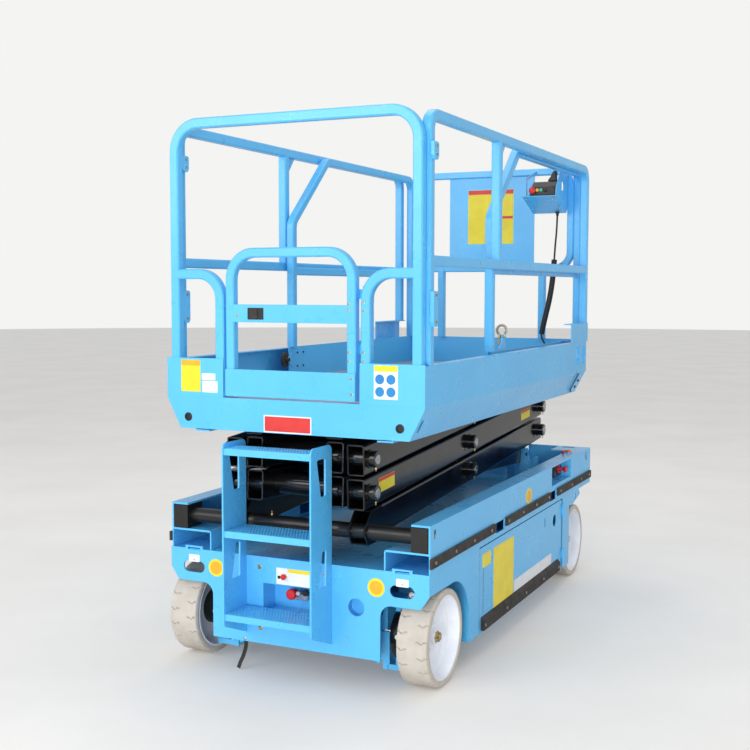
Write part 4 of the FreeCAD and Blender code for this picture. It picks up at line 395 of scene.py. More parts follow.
def tyre_shape(side, axle_y, out, deep, wide, cuts):
    """Tyre ring on a grid of angle t and place s across its section.

    The section runs up one wall, over the tread and down the other.  Each shoulder has cuts at even angles, the
    two sides half a pitch apart: there the radius falls by the groove depth, fading out at a third of the width.
    The grid lines themselves step sideways with the distance from the shoulder, which gives each cut its zigzag.
    """
    radius, seat, width, corner = 190.5, 165.2, 129.0, 9.0
    pitch = 2 * np.pi / cuts
    near = np.array([-0.56, -0.42, -0.2, 0.2, 0.42, 0.56]) * wide / radius
    fill = np.linspace(-0.25, 0.25, 11)[1:-1] * pitch
    steps = np.unique(np.round(np.concatenate([near, fill[np.abs(fill) > wide / radius]]), 7))
    t = (np.arange(2 * cuts)[:, None] * pitch / 2 + steps).ravel()
    wall = np.array([(0.6, seat), (0.3, seat + 4), (0.0, seat + 5), (0.0, seat + 12), (0.8, seat + 13), (0.8, seat + 16),
                     (1.6, radius - 6), (4.0, radius - 2.2)])
    tread = np.stack([np.linspace(corner, width - corner, 57), np.full(57, radius)], -1)
    section = np.concatenate([wall, tread, wall[::-1] * [-1, 1] + [width, 0]])
    s, r = section[:, 0], section[:, 1]
    inward = np.minimum(s, width - s)
    step = 7.0 * np.clip((inward - 14) / 5, 0, 1) - 5.0 * np.clip((inward - 30) / 5, 0, 1)
    fade = np.clip((width * 0.36 - inward) / 6, 0, 1) * (r > radius - 7)
    phase = np.where(s < width / 2, 0.0, pitch / 2)
    off = np.abs((t[:, None] - phase + pitch / 2) % pitch - pitch / 2) * radius
    fall = np.clip((wide / 2 + 0.4 - off) / (wide * 0.16), 0, 1) * fade * deep
    centred = np.clip((width / 2 - inward) / 10, 0, 1)
    angle = t[:, None] + step * centred / radius
    points = np.stack([side * (out - s) + 0 * angle, axle_y + (r - fall) * np.cos(angle),
                       radius + (r - fall) * np.sin(angle)], -1)
    return over_grid(points, wrap_u=True, wrap_v=True)


WHEELS = (("front_right", 1, -920.0, 577.0), ("front_left", -1, -920.0, 577.0),
          ("rear_right", 1, 985.0, 562.0), ("rear_left", -1, 985.0, 562.0))


class LIFT_OT_tyres(bpy.types.Operator):
    """Grooved solid tyres in place of the plain rings"""
    bl_idname = "lift.tyres"
    bl_label = "Tyres"

    def execute(self, context):
        values = context.scene.lift_wheels
        for name, side, axle_y, out in WHEELS:
            shape = tyre_shape(side, axle_y, out, values.groove_depth * 1000, values.groove_width * 1000, values.cuts)
            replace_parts(piece("tread_" + name, "wheel_" + name, (shape, "tyre"), 25), "tyre_" + name)
        return {"FINISHED"}


def castle_nut():
    """Slotted nut: a six-sided body under a crown whose wall stands in six teeth of a turned ring."""
    body = turned([(0, 0), (0, 24), (13, 24), (15, 22), (15, 0)], 6)
    t = np.arange(72) * 2 * np.pi / 72
    high = np.where((t * 6 / (2 * np.pi)) % 1 < 0.68, 23.0, 15.5)[:, None]
    rings = np.array([(14.0, 19.0), (np.nan, 19.0), (np.nan, 12.5), (14.0, 12.5)])
    h = np.where(np.isnan(rings[:, 0])[None, :], high, rings[:, 0][None, :])
    points = np.stack([np.cos(t)[:, None] * rings[:, 1], np.sin(t)[:, None] * rings[:, 1], h], -1)
    return joined([body, over_grid(points, wrap_u=True, wrap_v=True)])


class LIFT_OT_hubs(bpy.types.Operator):
    """Hub covers, castle nuts and axle ends, and the drive drums of the front wheels"""
    bl_idname = "lift.hubs"
    bl_label = "Wheel hubs"

    def execute(self, context):
        for name, side, axle_y, out in WHEELS:
            facing = RIGHT if side > 0 else LEFT
            face = out - 62.0 + 12.0
            centre = (side * face, axle_y, 190.5)
            collar = turned([(-2, 0), (-2, 29), (9, 29), (11, 27), (11, 24), (13, 22), (13, 0)], 36)
            end = (side * (out - 47.0), axle_y, 190.5)
            nut = put(castle_nut(), end, facing)
            stub = put(turned([(0, 0), (0, 11.5), (24, 11.5), (26, 9.5), (26, 0)], 20), end, facing)
            key = "zinc" if "front" in name else "steel"
            piece("hub_" + name, "wheel_" + name, [(put(collar, centre, facing), "rim"), (nut, key), (stub, key)])
            if "front" in name:
                drum = turned([(0, 0), (0, 94), (2, 99), (6, 102), (23, 102), (23, 0)], 64)
                cap = put(turned([(0, 0), (0, 10), (3, 10), (5, 7.5), (5.5, 0)], 20), (side * 415, -1016.5, 198), FRONT)
                hose = along(softened([(side * x, -1015.0, z) for x, z in ((364, 221), (382, 220), (398, 217))]),
                             ring_section(2.6), (0, 1, 0))
                piece("drive_" + name, "knuckle_%s_body" % name.split("_")[1],
                      [(put(drum, (side * 382.0, axle_y, 190.5), facing), "black"), (cap, "white_film"), (hose, "white_film")])
        return {"FINISHED"}


# Ladder

class LIFT_OT_ladder_grip(bpy.types.Operator):
    """Studded grip faces on the three ladder treads"""
    bl_idname = "lift.ladder_grip"
    bl_label = "Ladder grip"

    def execute(self, context):
        values = context.scene.lift_treads
        pitch, tall = values.pitch * 1000, values.height * 1000
        shapes = []
        for top, depth in ((923.5, 98.0), (600.75, 150.0), (272.0, 150.0)):
            x = np.arange(-213.0, 161.1, 1.9)
            y = np.arange(-1251.0, -1253.0 + depth - 1.0, 1.9)
            gx, gy = np.meshgrid(x, y, indexing="ij")
            # Height: rows of studs, each a clipped product of cosines, every other row half a pitch along
            row = np.floor(gy / pitch)
            stud = np.cos(np.pi * ((gx / pitch + 0.5 * (row % 2)) % 1 - 0.5)) ** 2 * np.cos(np.pi * (gy / pitch % 1 - 0.5)) ** 2
            high = top + 0.5 + tall * np.clip(stud * 1.8 - 0.5, 0, 1)
            high[[0, -1], :] = top - 0.3
            high[:, [0, -1]] = top - 0.3
            shapes.append(over_grid(np.stack([gx, gy, high], -1)))
        piece("tread_grip", "chassis", (joined(shapes), "blue"), 20)
        return {"FINISHED"}


# Chassis front

def disc_label(at, facing, across=(72.0, 72.0)):
    """Round plate in two plain colours: an oval and a smaller one on it."""
    w, h = across
    return [(put(slab(oval(w, h, 40), 0.0, 0.6), at, facing), "yellow_film"),
            (put(slab(oval(w * 0.74, h * 0.74, 40), 0.6, 0.8), at, facing), "amber_film")]


def plain_label(at, facing, width, height, colour, head=0.0, head_colour="red_film", corner=3.0):
    """Blank printed plate with a coloured band along its top; at is its centre."""
    parts = [(put(slab(rounded(width, height, corner), 0.0, 0.5), at, facing), colour)]
    if head:
        up = np.asarray(facing[1], float)
        band = slab(rounded(width - 2, head, min(corner, head / 3)), 0.5, 0.75)
        parts.append((put(band, np.asarray(at) + up * (height / 2 - head / 2 - 1), facing), head_colour))
    return parts


class LIFT_OT_front_plate(bpy.types.Operator):
    """Plates, bolts and ground controls on the front plate"""
    bl_idname = "lift.front_plate"
    bl_label = "Front plate"

    def execute(self, context):
        y = -1090.0
        labels = []
        for x in (359.0, -360.0):
            labels += disc_label((x, y, 404.0), FRONT)
        for x in (468.0, -466.0):
            labels += plain_label((x, y, 433.5), FRONT, 52, 30, "white_film")
        labels += plain_label((24.0, y, 403.0), FRONT, 99, 66, "white_film", 15, "yellow_film")
        labels += plain_label((-52.0, y, 403.0), FRONT, 52, 66, "white_film")
        piece("front_labels", "chassis", labels)
        bolts = [(-155.0, y, 430.5), (-152.0, y, 182.0), (141.0, y, 430.0), (141.0, y, 182.0)]
        tags = [(x, y - 0.5, 428.0) for x in (468.0, -466.0)]
        piece("front_bolts", "chassis", [(spread(hex_bolt(8), bolts, FRONT), "zinc"),
                                         (spread(socket_screw(3.6), tags, FRONT), "steel")])
        stop = turned([(0, 0), (0, 8), (5, 8), (6, 11.5), (11, 11.5), (13, 9), (13.5, 0)], 28)
        collar = turned([(0, 0), (0, 11.5), (1.2, 11.5), (1.2, 0)], 24)
        key = turned([(0, 0), (0, 6.5), (2.5, 6.5), (2.5, 3.2), (1.0, 3.0), (1.0, 0)], 20)
        eye = turned([(0, 5), (0, 12), (9, 12), (10, 11), (10, 6), (9, 5), (0, 5)], 28)
        rod = put(turned([(0, 0), (0, 6), (66, 6), (66, 0)], 16), (504, -1075, 389), RIGHT)
        piece("corner_eye", "chassis", [(put(eye, (502, -1070, 389), FRONT), "steel"), (rod, "steel")])
        cup = turned([(0, 0), (0, 44), (2, 46), (44, 46), (44, 43), (4, 43), (3, 42), (3, 0)], 48)
        piece("hole_cup", "chassis", [(put(cup, (274.5, y + 52.0, 317.0), FRONT), "blue")])
        piece("ground_buttons", "chassis",
              [(put(stop, (-42, y - 0.5, 402), FRONT), "red_knob"), (put(collar, (-42, y - 0.5, 402), FRONT), "yellow_knob"),
               (put(key, (-65, y - 0.5, 398), FRONT), "case")])
        return {"FINISHED"}


class LIFT_OT_ground_valve(bpy.types.Operator):
    """Lowering knob, valve and hose inside the recess, and the earth strap"""
    bl_idname = "lift.ground_valve"
    bl_label = "Ground valve"

    def execute(self, context):
        knob = turned([(0, 0), (0, 7), (14, 7), (16, 18), (20, 22), (32, 22), (37, 18), (39, 9), (39, 0)], 32)
        block = slab(rounded(64, 46, 4), 0, 40, 2)
        stem = turned([(0, 0), (0, 11), (22, 11), (24, 9), (30, 9), (30, 0)], 24)
        nut = turned([(0, 0), (0, 14), (12, 14), (14, 12), (14, 0)], 6)
        back = -999.0
        shapes = [(put(knob, (-26, -1035, 326), FRONT), "red_knob"),
                  (put(block, (4, back, 322), FRONT), "steel"),
                  (put(stem, (8, -1039, 334), FRONT), "chrome"),
                  (put(nut, (30, -1039, 334), FRONT), "case"),
                  (put(turned([(0, 0), (0, 9), (38, 9), (38, 0)], 20), (-26, back, 326), FRONT), "steel")]
        route = softened([(46, -1004, 322), (70, -1012, 318), (92, -1030, 300), (96, -1040, 276), (92, -1046, 262)])
        shapes.append((along(route, ring_section(6.0), (0, 1, 0)), "sheath"))
        piece("ground_valve", "chassis", shapes)
        strap = along(softened([(-226, -1078, 122), (-227, -1079, 96), (-234, -1084, 60), (-246, -1092, 30), (-252, -1098, 6)]),
                      rounded(3.0, 17.0, 1.2, 3), (1, 0, 0))
        piece("earth_strap", "chassis", [(strap, "sheath"), (put(hex_bolt(6), (-226, -1090, 128), FRONT), "steel")])
        return {"FINISHED"}


# Chassis sides

class LIFT_OT_side_plates(bpy.types.Operator):
    """Blank plates on the doors and side walls, and dark sheets of painted shade in the door's strip edge and slot"""
    bl_idname = "lift.side_plates"
    bl_label = "Side plates"

    def execute(self, context):
        for name, facing, s in (("right", RIGHT, 1), ("left", LEFT, -1)):
            x = s * 575.0
            parts = plain_label((x, -445.0, 397.0), facing, 106, 58, "yellow_film")
            parts += plain_label((x, -219.0, 290.0), facing, 276, 272, "yellow_film")
            parts += plain_label((x, 227.0, 188.0), facing, 592, 58, "white_film")
            # Painted shade: dark sheets in the strip's front edge and behind the round-ended slot stand in for the
            # shadow in these recesses
            parts.append((put(slab(rounded(4, 246, 1.5), 0, 1.9), (s * 573.0, -486.5, 297.0), facing), "case"))
            parts.append((put(slab(oval(17, 64, 32), 0, 1.0), (s * 569.0, 408.0, 391.5), facing), "case"))
            piece("door_plates_" + name, "tray_%s_body" % name, parts)
            piece("wall_plate_" + name, "chassis", disc_label((s * 578.0, 128.0, 573.0), facing, (92, 72)))
        return {"FINISHED"}


class LIFT_OT_strip_bolts(bpy.types.Operator):
    """Bolts along the rubber strips, in shallow counterbores"""
    bl_idname = "lift.strip_bolts"
    bl_label = "Strip bolts"

    def execute(self, context):
        head = turned([(0, 0), (0, 7.6), (0.7, 7.6), (2.6, 6.2), (3.4, 4.0), (3.4, 3.0), (2.2, 2.6), (2.2, 0)], 20)
        ys = (-1050, -840, -630, -420, -190, 20, 225, 430, 640, 850, 1040, 1205)
        side = spread(head, [(588.0, y, 515.0) for y in ys], RIGHT)
        piece("strip_bolts", "chassis", (both_sides(side), "pewter"))
        door = spread(head, [(590.0, y, 127.0) for y in (-495, -208, 70, 348, 610)], RIGHT)
        piece("door_bolts_right", "tray_right_body", (door, "pewter"))
        piece("door_bolts_left", "tray_left_body", (mirrored(door), "pewter"))
        return {"FINISHED"}


class LIFT_OT_isolator(bpy.types.Operator):
    """Battery switch in its window, with the lamp and knob above it, and dark fills of painted shade in the wall slots
    """
    bl_idname = "lift.isolator"
    bl_label = "Isolator"

    def execute(self, context):
        base = slab(rounded(134, 84, 6), 0, 13, 2)
        rim = turned([(0, 0), (0, 24), (5, 24), (7, 22), (7, 0)], 32)
        handle = turned([(0, 0), (0, 12), (6, 11), (14, 7), (22, 8), (28, 14), (31, 16), (37, 16), (39, 14), (39, 0)], 28)
        pegs = [(511.0 + 13, y, z) for y in (745.0, 838.0) for z in (577.0, 629.0)]
        piece("isolator", "chassis",
              [(put(base, (511, 791, 603), RIGHT), "case"), (put(rim, (524, 805, 599), RIGHT), "red_knob"),
               (put(handle, (531, 805, 599), RIGHT), "red_knob"), (spread(hex_bolt(4), pegs, RIGHT), "steel")])
        lamp = turned([(0, 0), (0, 16), (3, 16), (7, 15), (11, 11), (13, 5), (13.5, 0)], 32)
        foot = turned([(0, 0), (0, 23), (2, 23), (4, 21), (4, 0)], 36)
        knob = turned([(0, 0), (0, 5), (6, 5), (8, 10), (13, 11), (17, 8), (18, 0)], 28)
        piece("corner_lamp", "chassis", [(put(foot, (524, 1006, 658), TOP), "blue"), (put(lamp, (524, 1006, 662), TOP), "amber"),
                                         (put(knob, (510, 950, 658), TOP), "red_knob")])
        # Painted shade: a dark oval on the wall at the rear slot stands in for its shadow, with a blue oval on it
        slots = [(put(slab(oval(24, 44, 32), 0.0, 0.4), (578, 1168, 625), RIGHT), "case"),
                 (put(slab(oval(14, 34, 32), 0.4, 0.5), (578, 1171, 625), RIGHT), "blue")]
        # Painted shade: a dark fill in each upright slot near the front stands in for the slot's shadow, with a bright
        # pin end low in it
        slots.append((put(slab(oval(17.4, 55.4, 32), 0.0, 11.4), (566, -1037, 620), RIGHT), "case"))
        slots.append((put(slab(oval(9, 20, 24), 0.0, 0.9, 0.3), (577.4, -1035, 610), RIGHT), "steel"))
        piece("wall_eyes", "chassis", [(both_sides(shape), mat) for shape, mat in slots])
        return {"FINISHED"}


# Scissor arms

def pin_end():
    """Outer end of a pivot: two dark flanges on the boss, a bright pin face with a centre dimple, and its nipple."""
    flanges = joined([turned([(-33, 30.5), (-33, 36), (-29, 36), (-28, 34), (-28, 30.5)], 40),
                      turned([(-13, 30.5), (-13, 32.5), (-4, 32.5), (-3, 31.5), (-3, 30.5)], 40)])
    face = turned([(-1, 0), (-1, 20), (1.6, 20), (2.4, 19), (2.4, 6), (0.8, 4), (0.8, 0)], 32)
    nipple = [(0, 0), (0, 5), (5, 5), (5, 2.6), (11, 2.4), (12, 3.4), (14.5, 2.4), (15, 0)]
    hang = put(turned(nipple, 12), (0, -32, -8), ((1, 0, 0), (0, 0, 1), (0, -1, 0)))
    return flanges, face, hang


PIN_ENDS = (("inner_1", ((66, 689),)), ("inner_2", ((66, 821), (-1032, 887))), ("inner_3", ((66, 953),)),
            ("inner_1", ((-1032, 755),)), ("outer_1", ((1164, 755),)), ("outer_2", ((1164, 887),)))


class LIFT_OT_pin_ends(bpy.types.Operator):
    """Bright pin faces, flanges and grease nipples of the arm pivots"""
    bl_idname = "lift.pin_ends"
    bl_label = "Pin ends"

    def execute(self, context):
        flanges, face, hang = pin_end()
        for i, (body, places) in enumerate(PIN_ENDS):
            parts = []
            for y, z in places:
                for shape, mat in ((flanges, "black"), (face, "steel"), (hang, "zinc")):
                    parts.append((both_sides(put(shape, (338, y, z), RIGHT)), mat))
            piece("pin_ends_%d" % (i + 1), body, parts)
        labels = plain_label((305.0, -876.0, 774.0), ALONG_ARM, 150, 58, "yellow_film", 14)
        piece("arm_plate_front", "outer_2", labels)
        labels = plain_label((305.0, 927.0, 866.0), ALONG_ARM, 150, 50, "yellow_film", 12)
        piece("arm_plate_rear", "outer_2", labels)
        stud = turned([(0, 0), (0, 6), (6, 6), (6, 3), (13, 2.6), (14, 3.6), (17, 2.4), (17, 0)], 14)
        studs = joined([put(stud, (-130, -1032, 631.5), TOP), put(stud, (-130, -1051, 580), ((1, 0, 0), (0, -0.77, 0.64), (0, -0.64, -0.77)))])
        piece("shaft_studs", "lower_slider_body", (studs, "zinc"))
        return {"FINISHED"}


# Platform

class LIFT_OT_platform_plates(bpy.types.Operator):
    """Blank plates and grommets on the platform's front"""
    bl_idname = "lift.platform_plates"
    bl_label = "Platform plates"

    def execute(self, context):
        y = -1117.0
        parts = plain_label((-455, y, 1188), FRONT, 92, 128, "yellow_film", 22, "amber_film")
        parts += plain_label((-370, y, 1186), FRONT, 64, 27, "white_film")
        parts += plain_label((-364, y, 1146), FRONT, 72, 46, "white_film")
        parts += plain_label((410, y, 1191), FRONT, 98, 127, "white_film", 22, "yellow_film")
        for x in (385.0, 431.0):
            for z in (1202.0, 1155.0):
                parts.append((put(slab(oval(37, 37), 0.5, 0.8), (x, y, z), FRONT), "blue_film"))
        parts += plain_label((-10, y, 1011), FRONT, 212, 68, "white_film")
        parts.append((put(slab(rounded(202, 58, 2), 0.5, 0.8), (-10, y, 1011), FRONT), "red_film"))
        piece("platform_labels", "platform", parts)
        grommet = turned([(0, 10.5), (0, 17.5), (2.2, 17.5), (2.8, 16.5), (2.8, 11.5), (0, 10.5)], 32)
        piece("skirt_grommets", "platform", (spread(grommet, [(468, y, 1021), (-468, y, 1021)], FRONT), "case"))
        return {"FINISHED"}


class LIFT_OT_gate_fittings(bpy.types.Operator):
    """Gate hinge bolts and latch, and the bolts on the hinge post"""
    bl_idname = "lift.gate_fittings"
    bl_label = "Gate fittings"

    def execute(self, context):
        y = -1112.0
        screws = [(252, y, 1482), (252, y, 1457), (254, y, 1299), (254, y, 1266), (-236, y, 1434)]
        low = [(268, y - 5, 1200), (268, y - 5, 1140)]
        latch = slab(rounded(72, 46, 3), 0.0, 1.2)
        bolt = slab(rounded(34, 38, 4), 1.2, 5.0, 1.2)
        piece("gate_fittings", "gate_body",
              [(spread(hex_bolt(4.6), screws + low, FRONT), "zinc"), (put(latch, (-153, y, 1440), FRONT), "case"),
               (put(bolt, (-160, y, 1440), FRONT), "strip")])
        posts = [(314, y, z) for z in (1487, 1457, 1300, 1267)]
        piece("post_bolts", "platform", (spread(hex_bolt(4.6), posts, FRONT), "zinc"))
        return {"FINISHED"}


class LIFT_OT_guard_joints(bpy.types.Operator):
    """Fold brackets, sockets and gussets of the guard rails"""
    bl_idname = "lift.guard_joints"
    bl_label = "Guard joints"

    def execute(self, context):
        # Each pair of plates: the right one on the outer face of its post, the left one on the inner face
        parts = []
        for low, high in ((2010.0, 2074.0), (1398.0, 1530.0)):
            cheek = slab([(-24, low + 16), (-12, low), (14, low), (22, low + 12), (22, high - 6), (14, high), (-24, high)], 0, 15, 2)
            ends = [(x + 15, -1050, z) for x in (568, -528) for z in (low + 18, high - 16)]
            parts += [(put(cheek, (x, -1050, 0), RIGHT), "blue") for x in (568, -528)]
            parts.append((spread(hex_bolt(5), ends, RIGHT), "zinc"))
        gusset = slab([(0, 0), (0, -82), (6, -84), (72, -6), (72, 0)], -3, 3)
        parts.append((put(gusset, (548, -260, 2159), RIGHT), "blue"))
        parts.append((mirrored(put(gusset, (548, -170, 2159), RIGHT)), "blue"))
        # Rail sockets near the rear: a plate with a folded edge each side
        socket = joined([slab(rounded(118, 88, 4), 0, 3, 1), (slab(rounded(12, 88, 3), 3, 11, 1.5)[0] + [-53, 0, 0],
                         slab(rounded(12, 88, 3), 3, 11, 1.5)[1]), (slab(rounded(12, 88, 3), 3, 11, 1.5)[0] + [53, 0, 0],
                         slab(rounded(12, 88, 3), 3, 11, 1.5)[1])])
        parts.append((both_sides(put(socket, (568, 1066, 1184), RIGHT)), "blue"))
        piece("guard_joints", "platform", parts)
        return {"FINISHED"}


class LIFT_OT_rear_strap(bpy.types.Operator):
    """Rubber strap and bolts on the sloping skirt's rear corner"""
    bl_idname = "lift.rear_strap"
    bl_label = "Rear strap"

    def execute(self, context):
        slope = math.atan2(62.0, 122.0)
        facing = ((0, 1, 0), (math.sin(slope), 0, math.cos(slope)), (math.cos(slope), 0, -math.sin(slope)))
        middle = (537.0, 1080.0, 1036.0)
        plate = slab([(-60, -58), (66, -58), (78, 40), (70, 58), (-60, 58)], 0, 4, 1.5)
        strap = along(softened([(-58, 60, 6), (-66, 20, 8), (-78, -26, 8), (-58, -46, 8), (-30, -52, 6)]),
                      rounded(7, 5, 2, 3), (0, 0, 1))
        bolts = spread(hex_bolt(7), [(10, 12, 4), (8, -26, 4)], TOP)
        parts = [(put(plate, middle, facing), "blue"), (put(strap, middle, facing), "strip"), (put(bolts, middle, facing), "case")]
        piece("rear_strap", "platform", [(both_sides(shape), mat) for shape, mat in parts])
        return {"FINISHED"}


class LIFT_OT_deck_latch(bpy.types.Operator):
    """Pull latch, front rollers and wall bolts of the roll-out deck"""
    bl_idname = "lift.deck_latch"
    bl_label = "Deck latch"

    def execute(self, context):
        t = np.linspace(-0.3 * np.pi, 1.3 * np.pi, 48)
        band = along(np.stack([486 + 22 * np.cos(t), 0 * t - 16, 1352 + 22 * np.sin(t)], -1), rounded(12, 4, 1.5, 3), (0, 1, 0))
        base = slab([(-62, 0), (46, 0), (46, 30), (20, 62), (4, 96), (-14, 96), (-24, 60), (-62, 34)], 0, 5, 1)
        pin = turned([(0, 0), (0, 7), (22, 7), (24, 5), (24, 0)], 20)
        lever = along(softened([(484, -52, 1290), (480, -44, 1308), (478, -30, 1322), (482, -20, 1331)]), ring_section(5), (1, 0, 0))
        piece("deck_latch", "extension",
              [(band, "pewter"), (put(base, (491, -16, 1236), RIGHT), "blue"), (lever, "zinc"),
               (spread(pin, [(480, -16, 1322)], RIGHT), "steel"), (spread(hex_bolt(8), [(491, 20, 1276)], LEFT), "steel")])
        wheel = turned([(-8, 0), (-8, 12), (-6, 13), (-6, 31), (-3, 36), (3, 36), (6, 31), (6, 13), (8, 12), (8, 0)], 48)
        arm = slab([(0, 34), (0, -36), (-34, -16), (-50, 0), (-34, 14)], 0, 5, 1)
        pins = put(turned([(0, 0), (0, 10), (20, 10), (20, 0)], 20), (-491, -281, 1204), RIGHT)
        sides = [(put(wheel, (-494, -281, 1204), RIGHT), "strip"), (put(arm, (-482, -239, 1204), RIGHT), "blue"), (pins, "strip")]
        bolts = spread(hex_bolt(6, False), [(-496, y, z) for y in (-160.0, -101.0) for z in (1232.0, 1168.0)], RIGHT)
        piece("deck_rollers", "extension", [(both_sides(shape), mat) for shape, mat in sides + [(bolts, "case")]])
        return {"FINISHED"}


class LIFT_OT_end_panel(bpy.types.Operator):
    """Blank instruction plate on the end panel"""
    bl_idname = "lift.end_panel"
    bl_label = "End panel plate"

    def execute(self, context):
        parts = plain_label((-5, 1215, 1945), FRONT, 270, 304, "yellow_film", 24)
        parts.append((put(slab(rounded(122, 14, 2), 0.5, 0.8), (66, 1215, 1941), FRONT), "red_film"))
        piece("end_label", "extension", parts)
        return {"FINISHED"}


# Upper controls: the tray leans, so the bolts under it are placed along its slope

SLOPE = math.atan2(-78.0, 200.0)
LEAN = ((1, 0, 0), (0, math.cos(SLOPE), math.sin(SLOPE)), (0, -math.sin(SLOPE), math.cos(SLOPE)))


class LIFT_OT_console(bpy.types.Operator):
    """Control box face: stop button, switch, lamp and lever"""
    bl_idname = "lift.console"
    bl_label = "Console"

    def execute(self, context):
        stop = turned([(0, 0), (0, 9), (5, 9), (7, 17), (11, 19), (15, 18), (18, 12), (18, 0)], 28)
        small = turned([(0, 0), (0, 9), (6, 9), (8, 7), (8, 0)], 20)
        grip = slab([(440, 2110), (441, 2150), (439, 2163), (433, 2166), (425, 2160), (418, 2148), (412, 2134), (402, 2122), (396, 2110)],
                    -17, 17, 4)
        y = 970.0
        parts = [(put(stop, (318, y, 2063), FRONT), "red_knob"), (put(small, (343, y, 2064), FRONT), "yellow_knob"),
                 (put(small, (364, y, 2064), FRONT), "green_knob"), (put(small, (386, y, 2062), FRONT), "case"),
                 (put(grip, (0, 992, 0), FRONT), "case"),
                 (put(slab(rounded(132, 40, 4), 0, 1.0), (370, y, 2062), FRONT), "dark")]
        bolts = [(280, 1100), (425, 1100), (280, 985), (425, 985)]
        for x, yy in bolts:
            z = 2030 + (yy - 960) * math.tan(SLOPE)
            parts.append((put(hex_bolt(5), (x, yy, z), ((1, 0, 0), (0, -1, 0), (0, 0, -1))), "steel"))
        gland = turned([(0, 0), (0, 11), (9, 11), (11, 8), (22, 7), (24, 5.5), (24, 0)], 20)
        parts.append((put(gland, (405, 1142, 1959.5), UNDER), "case"))
        piece("console_face", "extension", parts)
        return {"FINISHED"}


# Cables: the same points as the frame's cords, as smooth curves

CABLE = ((405.0, 1142.0, 1956.8), (402.0, 1146.0, 1862.0), (392.0, 1150.0, 1772.0), (388.0, 1152.0, 1700.0))
SLEEVE = ((388.0, 1152.0, 1699.4), (384.0, 1150.0, 1610.0), (366.0, 1146.0, 1480.0), (340.0, 1142.0, 1370.0),
          (324.0, 1141.0, 1290.0))
TAIL = ((324.0, 1141.0, 1288.4), (323.0, 1141.0, 1266.0), (352.0, 1141.0, 1226.0), (362.0, 1140.0, 1175.0),
        (362.0, 1140.0, 1118.0))


def smooth_cord(name, points, radius, colour):
    """Curve of one NURBS spline through the route's control points, with a round bevel."""
    curve = bpy.data.curves.new(name, "CURVE")
    curve.dimensions = "3D"
    spline = curve.splines.new("NURBS")
    spline.points.add(len(points) - 1)
    spline.points.foreach_set("co", np.column_stack([np.asarray(points) / 1000, np.ones(len(points))]).ravel())
    spline.order_u = 3
    spline.use_endpoint_u = True
    spline.resolution_u = 24
    curve.bevel_depth = radius / 1000
    curve.bevel_resolution = 5
    curve.use_fill_caps = True
    curve.materials.append(FINISHES[colour])
    obj = bpy.data.objects.new(name, curve)
    bpy.context.scene.collection.objects.link(obj)
    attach(obj, "extension")
    return obj


class LIFT_OT_cables(bpy.types.Operator):
    """Control cable, its sleeve and its lower end"""
    bl_idname = "lift.cables"
    bl_label = "Cables"

    def execute(self, context):
        upper = smooth_cord("upper_cable", CABLE, 5.0, "sheath")
        sleeve = smooth_cord("sleeve_cable", SLEEVE, 15.0, "sleeve")
        lower = smooth_cord("lower_cable", TAIL, 5.0, "sheath")
        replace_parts(upper, "control_cable")
        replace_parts(sleeve, "cable_sleeve")
        return {"FINISHED"}


# Stage

class LIFT_OT_frame_finishes(bpy.types.Operator):
    """Gives every part of the frame its finish"""
    bl_idname = "lift.frame_finishes"
    bl_label = "Frame finishes"

    def execute(self, context):
        FINISHES.update(make_finishes())
        for name, obj in NODES.items():
            mat = next((m for start, m in NODE_FINISH if name.startswith(start)), "blue")
            obj.data.materials.clear()
            obj.data.materials.append(FINISHES[mat])
        return {"FINISHED"}


def lifted(tree, place, shader, bump):
    """Floor kept pale to the horizon: a plain glow that only the camera sees."""
    seen = add(tree, "ShaderNodeLightPath").outputs["Is Camera Ray"]
    level = add(tree, "ShaderNodeMath", {"operation": "MULTIPLY", 1: 0.16}, {0: seen})
    shader.inputs["Emission Color"].default_value = linear("#F6F5F3")
    tree.links.new(level.outputs[0], shader.inputs["Emission Strength"])


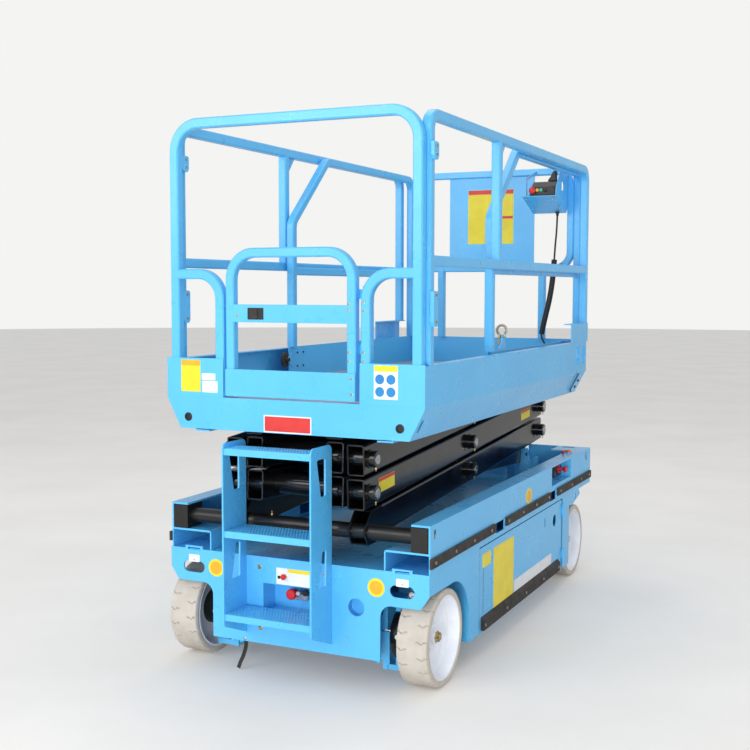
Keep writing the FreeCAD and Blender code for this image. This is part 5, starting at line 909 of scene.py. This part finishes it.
class LIFT_OT_stage(bpy.types.Operator):
    """Pale floor, soft lamps and the camera"""
    bl_idname = "lift.stage"
    bl_label = "Stage"

    def execute(self, context):
        scene, values = context.scene, context.scene.lift_stage
        # Floor: a flat ring grid of growing radius
        r = np.concatenate([[0.0], np.geomspace(0.5, 40.0, 24)]) * 1000
        t = np.arange(96) * 2 * np.pi / 96
        points = np.stack([np.cos(t)[:, None] * r, np.sin(t)[:, None] * r, np.zeros((96, len(r))) - 0.3], -1)
        mesh = bpy.data.meshes.new("floor")
        shape = over_grid(points, wrap_u=True)
        mesh.from_pydata((shape[0] / 1000).tolist(), [], shape[1][0].tolist())
        work = bmesh.new()
        work.from_mesh(mesh)
        bmesh.ops.remove_doubles(work, verts=work.verts, dist=1e-5)
        work.to_mesh(mesh)
        work.free()
        mesh.materials.append(finish("polished_concrete_pale", values.floor, "#DEDBD6", 900, 0.75, 0.05, 6, 0.01,
                                     extra=lifted))
        floor = bpy.data.objects.new("floor", mesh)
        scene.collection.objects.link(floor)
        for name, place, size, power, aim in (("key", (-2.8, -6.6, 3.6), 3.6, 140, (0, 0, 0.8)),
                                              ("low", (1.8, -7.0, 0.8), 2.0, 225, (0, -1, 0.2)),
                                              ("side", (6.0, 0.4, 3.4), 3.6, 34, (0, 0, 0.9)),
                                              ("top", (0.0, 1.2, 6.8), 4.5, 95, (0, 0, 1.0))):
            lamp = bpy.data.lights.new(name, "AREA")
            lamp.size, lamp.energy = size, power
            obj = bpy.data.objects.new(name, lamp)
            obj.location = place
            way = np.array(aim) - np.array(place)
            obj.rotation_euler = (math.acos(-way[2] / np.linalg.norm(way)), 0, math.atan2(way[1], way[0]) - math.pi / 2)
            scene.collection.objects.link(obj)
        world = scene.world or bpy.data.worlds.new("studio")
        scene.world = world
        world.use_nodes = True
        tree = world.node_tree
        tree.nodes.clear()
        seen = add(tree, "ShaderNodeLightPath").outputs["Is Camera Ray"]
        air = add(tree, "ShaderNodeBackground", {"Color": (0.93, 0.95, 0.98, 1), "Strength": 0.66})
        wall = add(tree, "ShaderNodeBackground", {"Color": linear("#F4F4F2"), "Strength": 1.0})
        mix = add(tree, "ShaderNodeMixShader", {}, {0: seen, 1: air.outputs[0], 2: wall.outputs[0]})
        add(tree, "ShaderNodeOutputWorld", {}, {"Surface": mix.outputs[0]})
        lens = bpy.data.cameras.new("camera")
        lens.lens, lens.sensor_width, lens.clip_end = values.lens, 36.0, 200.0
        camera = bpy.data.objects.new("camera", lens)
        camera.location = (2.157, -4.939, 1.538)
        camera.rotation_euler = (math.radians(90 - 4.34), math.radians(-0.09), math.radians(25.12))
        scene.collection.objects.link(camera)
        scene.camera = camera
        scene.view_settings.view_transform = "Standard"
        return {"FINISHED"}


OPERATORS = (LIFT_OT_stage, LIFT_OT_frame_finishes, LIFT_OT_cables, LIFT_OT_tyres, LIFT_OT_hubs, LIFT_OT_ladder_grip,
             LIFT_OT_front_plate, LIFT_OT_ground_valve, LIFT_OT_side_plates, LIFT_OT_strip_bolts, LIFT_OT_isolator,
             LIFT_OT_pin_ends, LIFT_OT_platform_plates, LIFT_OT_gate_fittings, LIFT_OT_guard_joints, LIFT_OT_rear_strap, LIFT_OT_deck_latch,
             LIFT_OT_end_panel, LIFT_OT_console)


class LIFT_PT_panel(bpy.types.Panel):
    """Lists the pieces of the lift"""
    bl_idname = "LIFT_PT_panel"
    bl_label = "Scissor lift"
    bl_space_type = "VIEW_3D"
    bl_region_type = "UI"
    bl_category = "Scissor lift"

    def draw(self, context):
        for group in ("lift_wheels", "lift_treads", "lift_stage"):
            values = getattr(context.scene, group)
            for key in values.__annotations__:
                self.layout.prop(values, key)
        for operator in OPERATORS:
            self.layout.operator(operator.bl_idname)


GROUPS = (("lift_wheels", LIFT_PG_wheels), ("lift_treads", LIFT_PG_treads), ("lift_stage", LIFT_PG_stage))


def register():
    for name, group in GROUPS:
        bpy.utils.register_class(group)
        setattr(bpy.types.Scene, name, PointerProperty(type=group))
    for cls in OPERATORS + (LIFT_PT_panel,):
        bpy.utils.register_class(cls)


def unregister():
    for cls in (LIFT_PT_panel,) + OPERATORS[::-1]:
        bpy.utils.unregister_class(cls)
    for name, group in GROUPS[::-1]:
        delattr(bpy.types.Scene, name)
        bpy.utils.unregister_class(group)


def main():
    register()
    for operator in OPERATORS:
        group, name = operator.bl_idname.split(".")
        getattr(getattr(bpy.ops, group), name)()


if __name__ == "__main__":
    main()
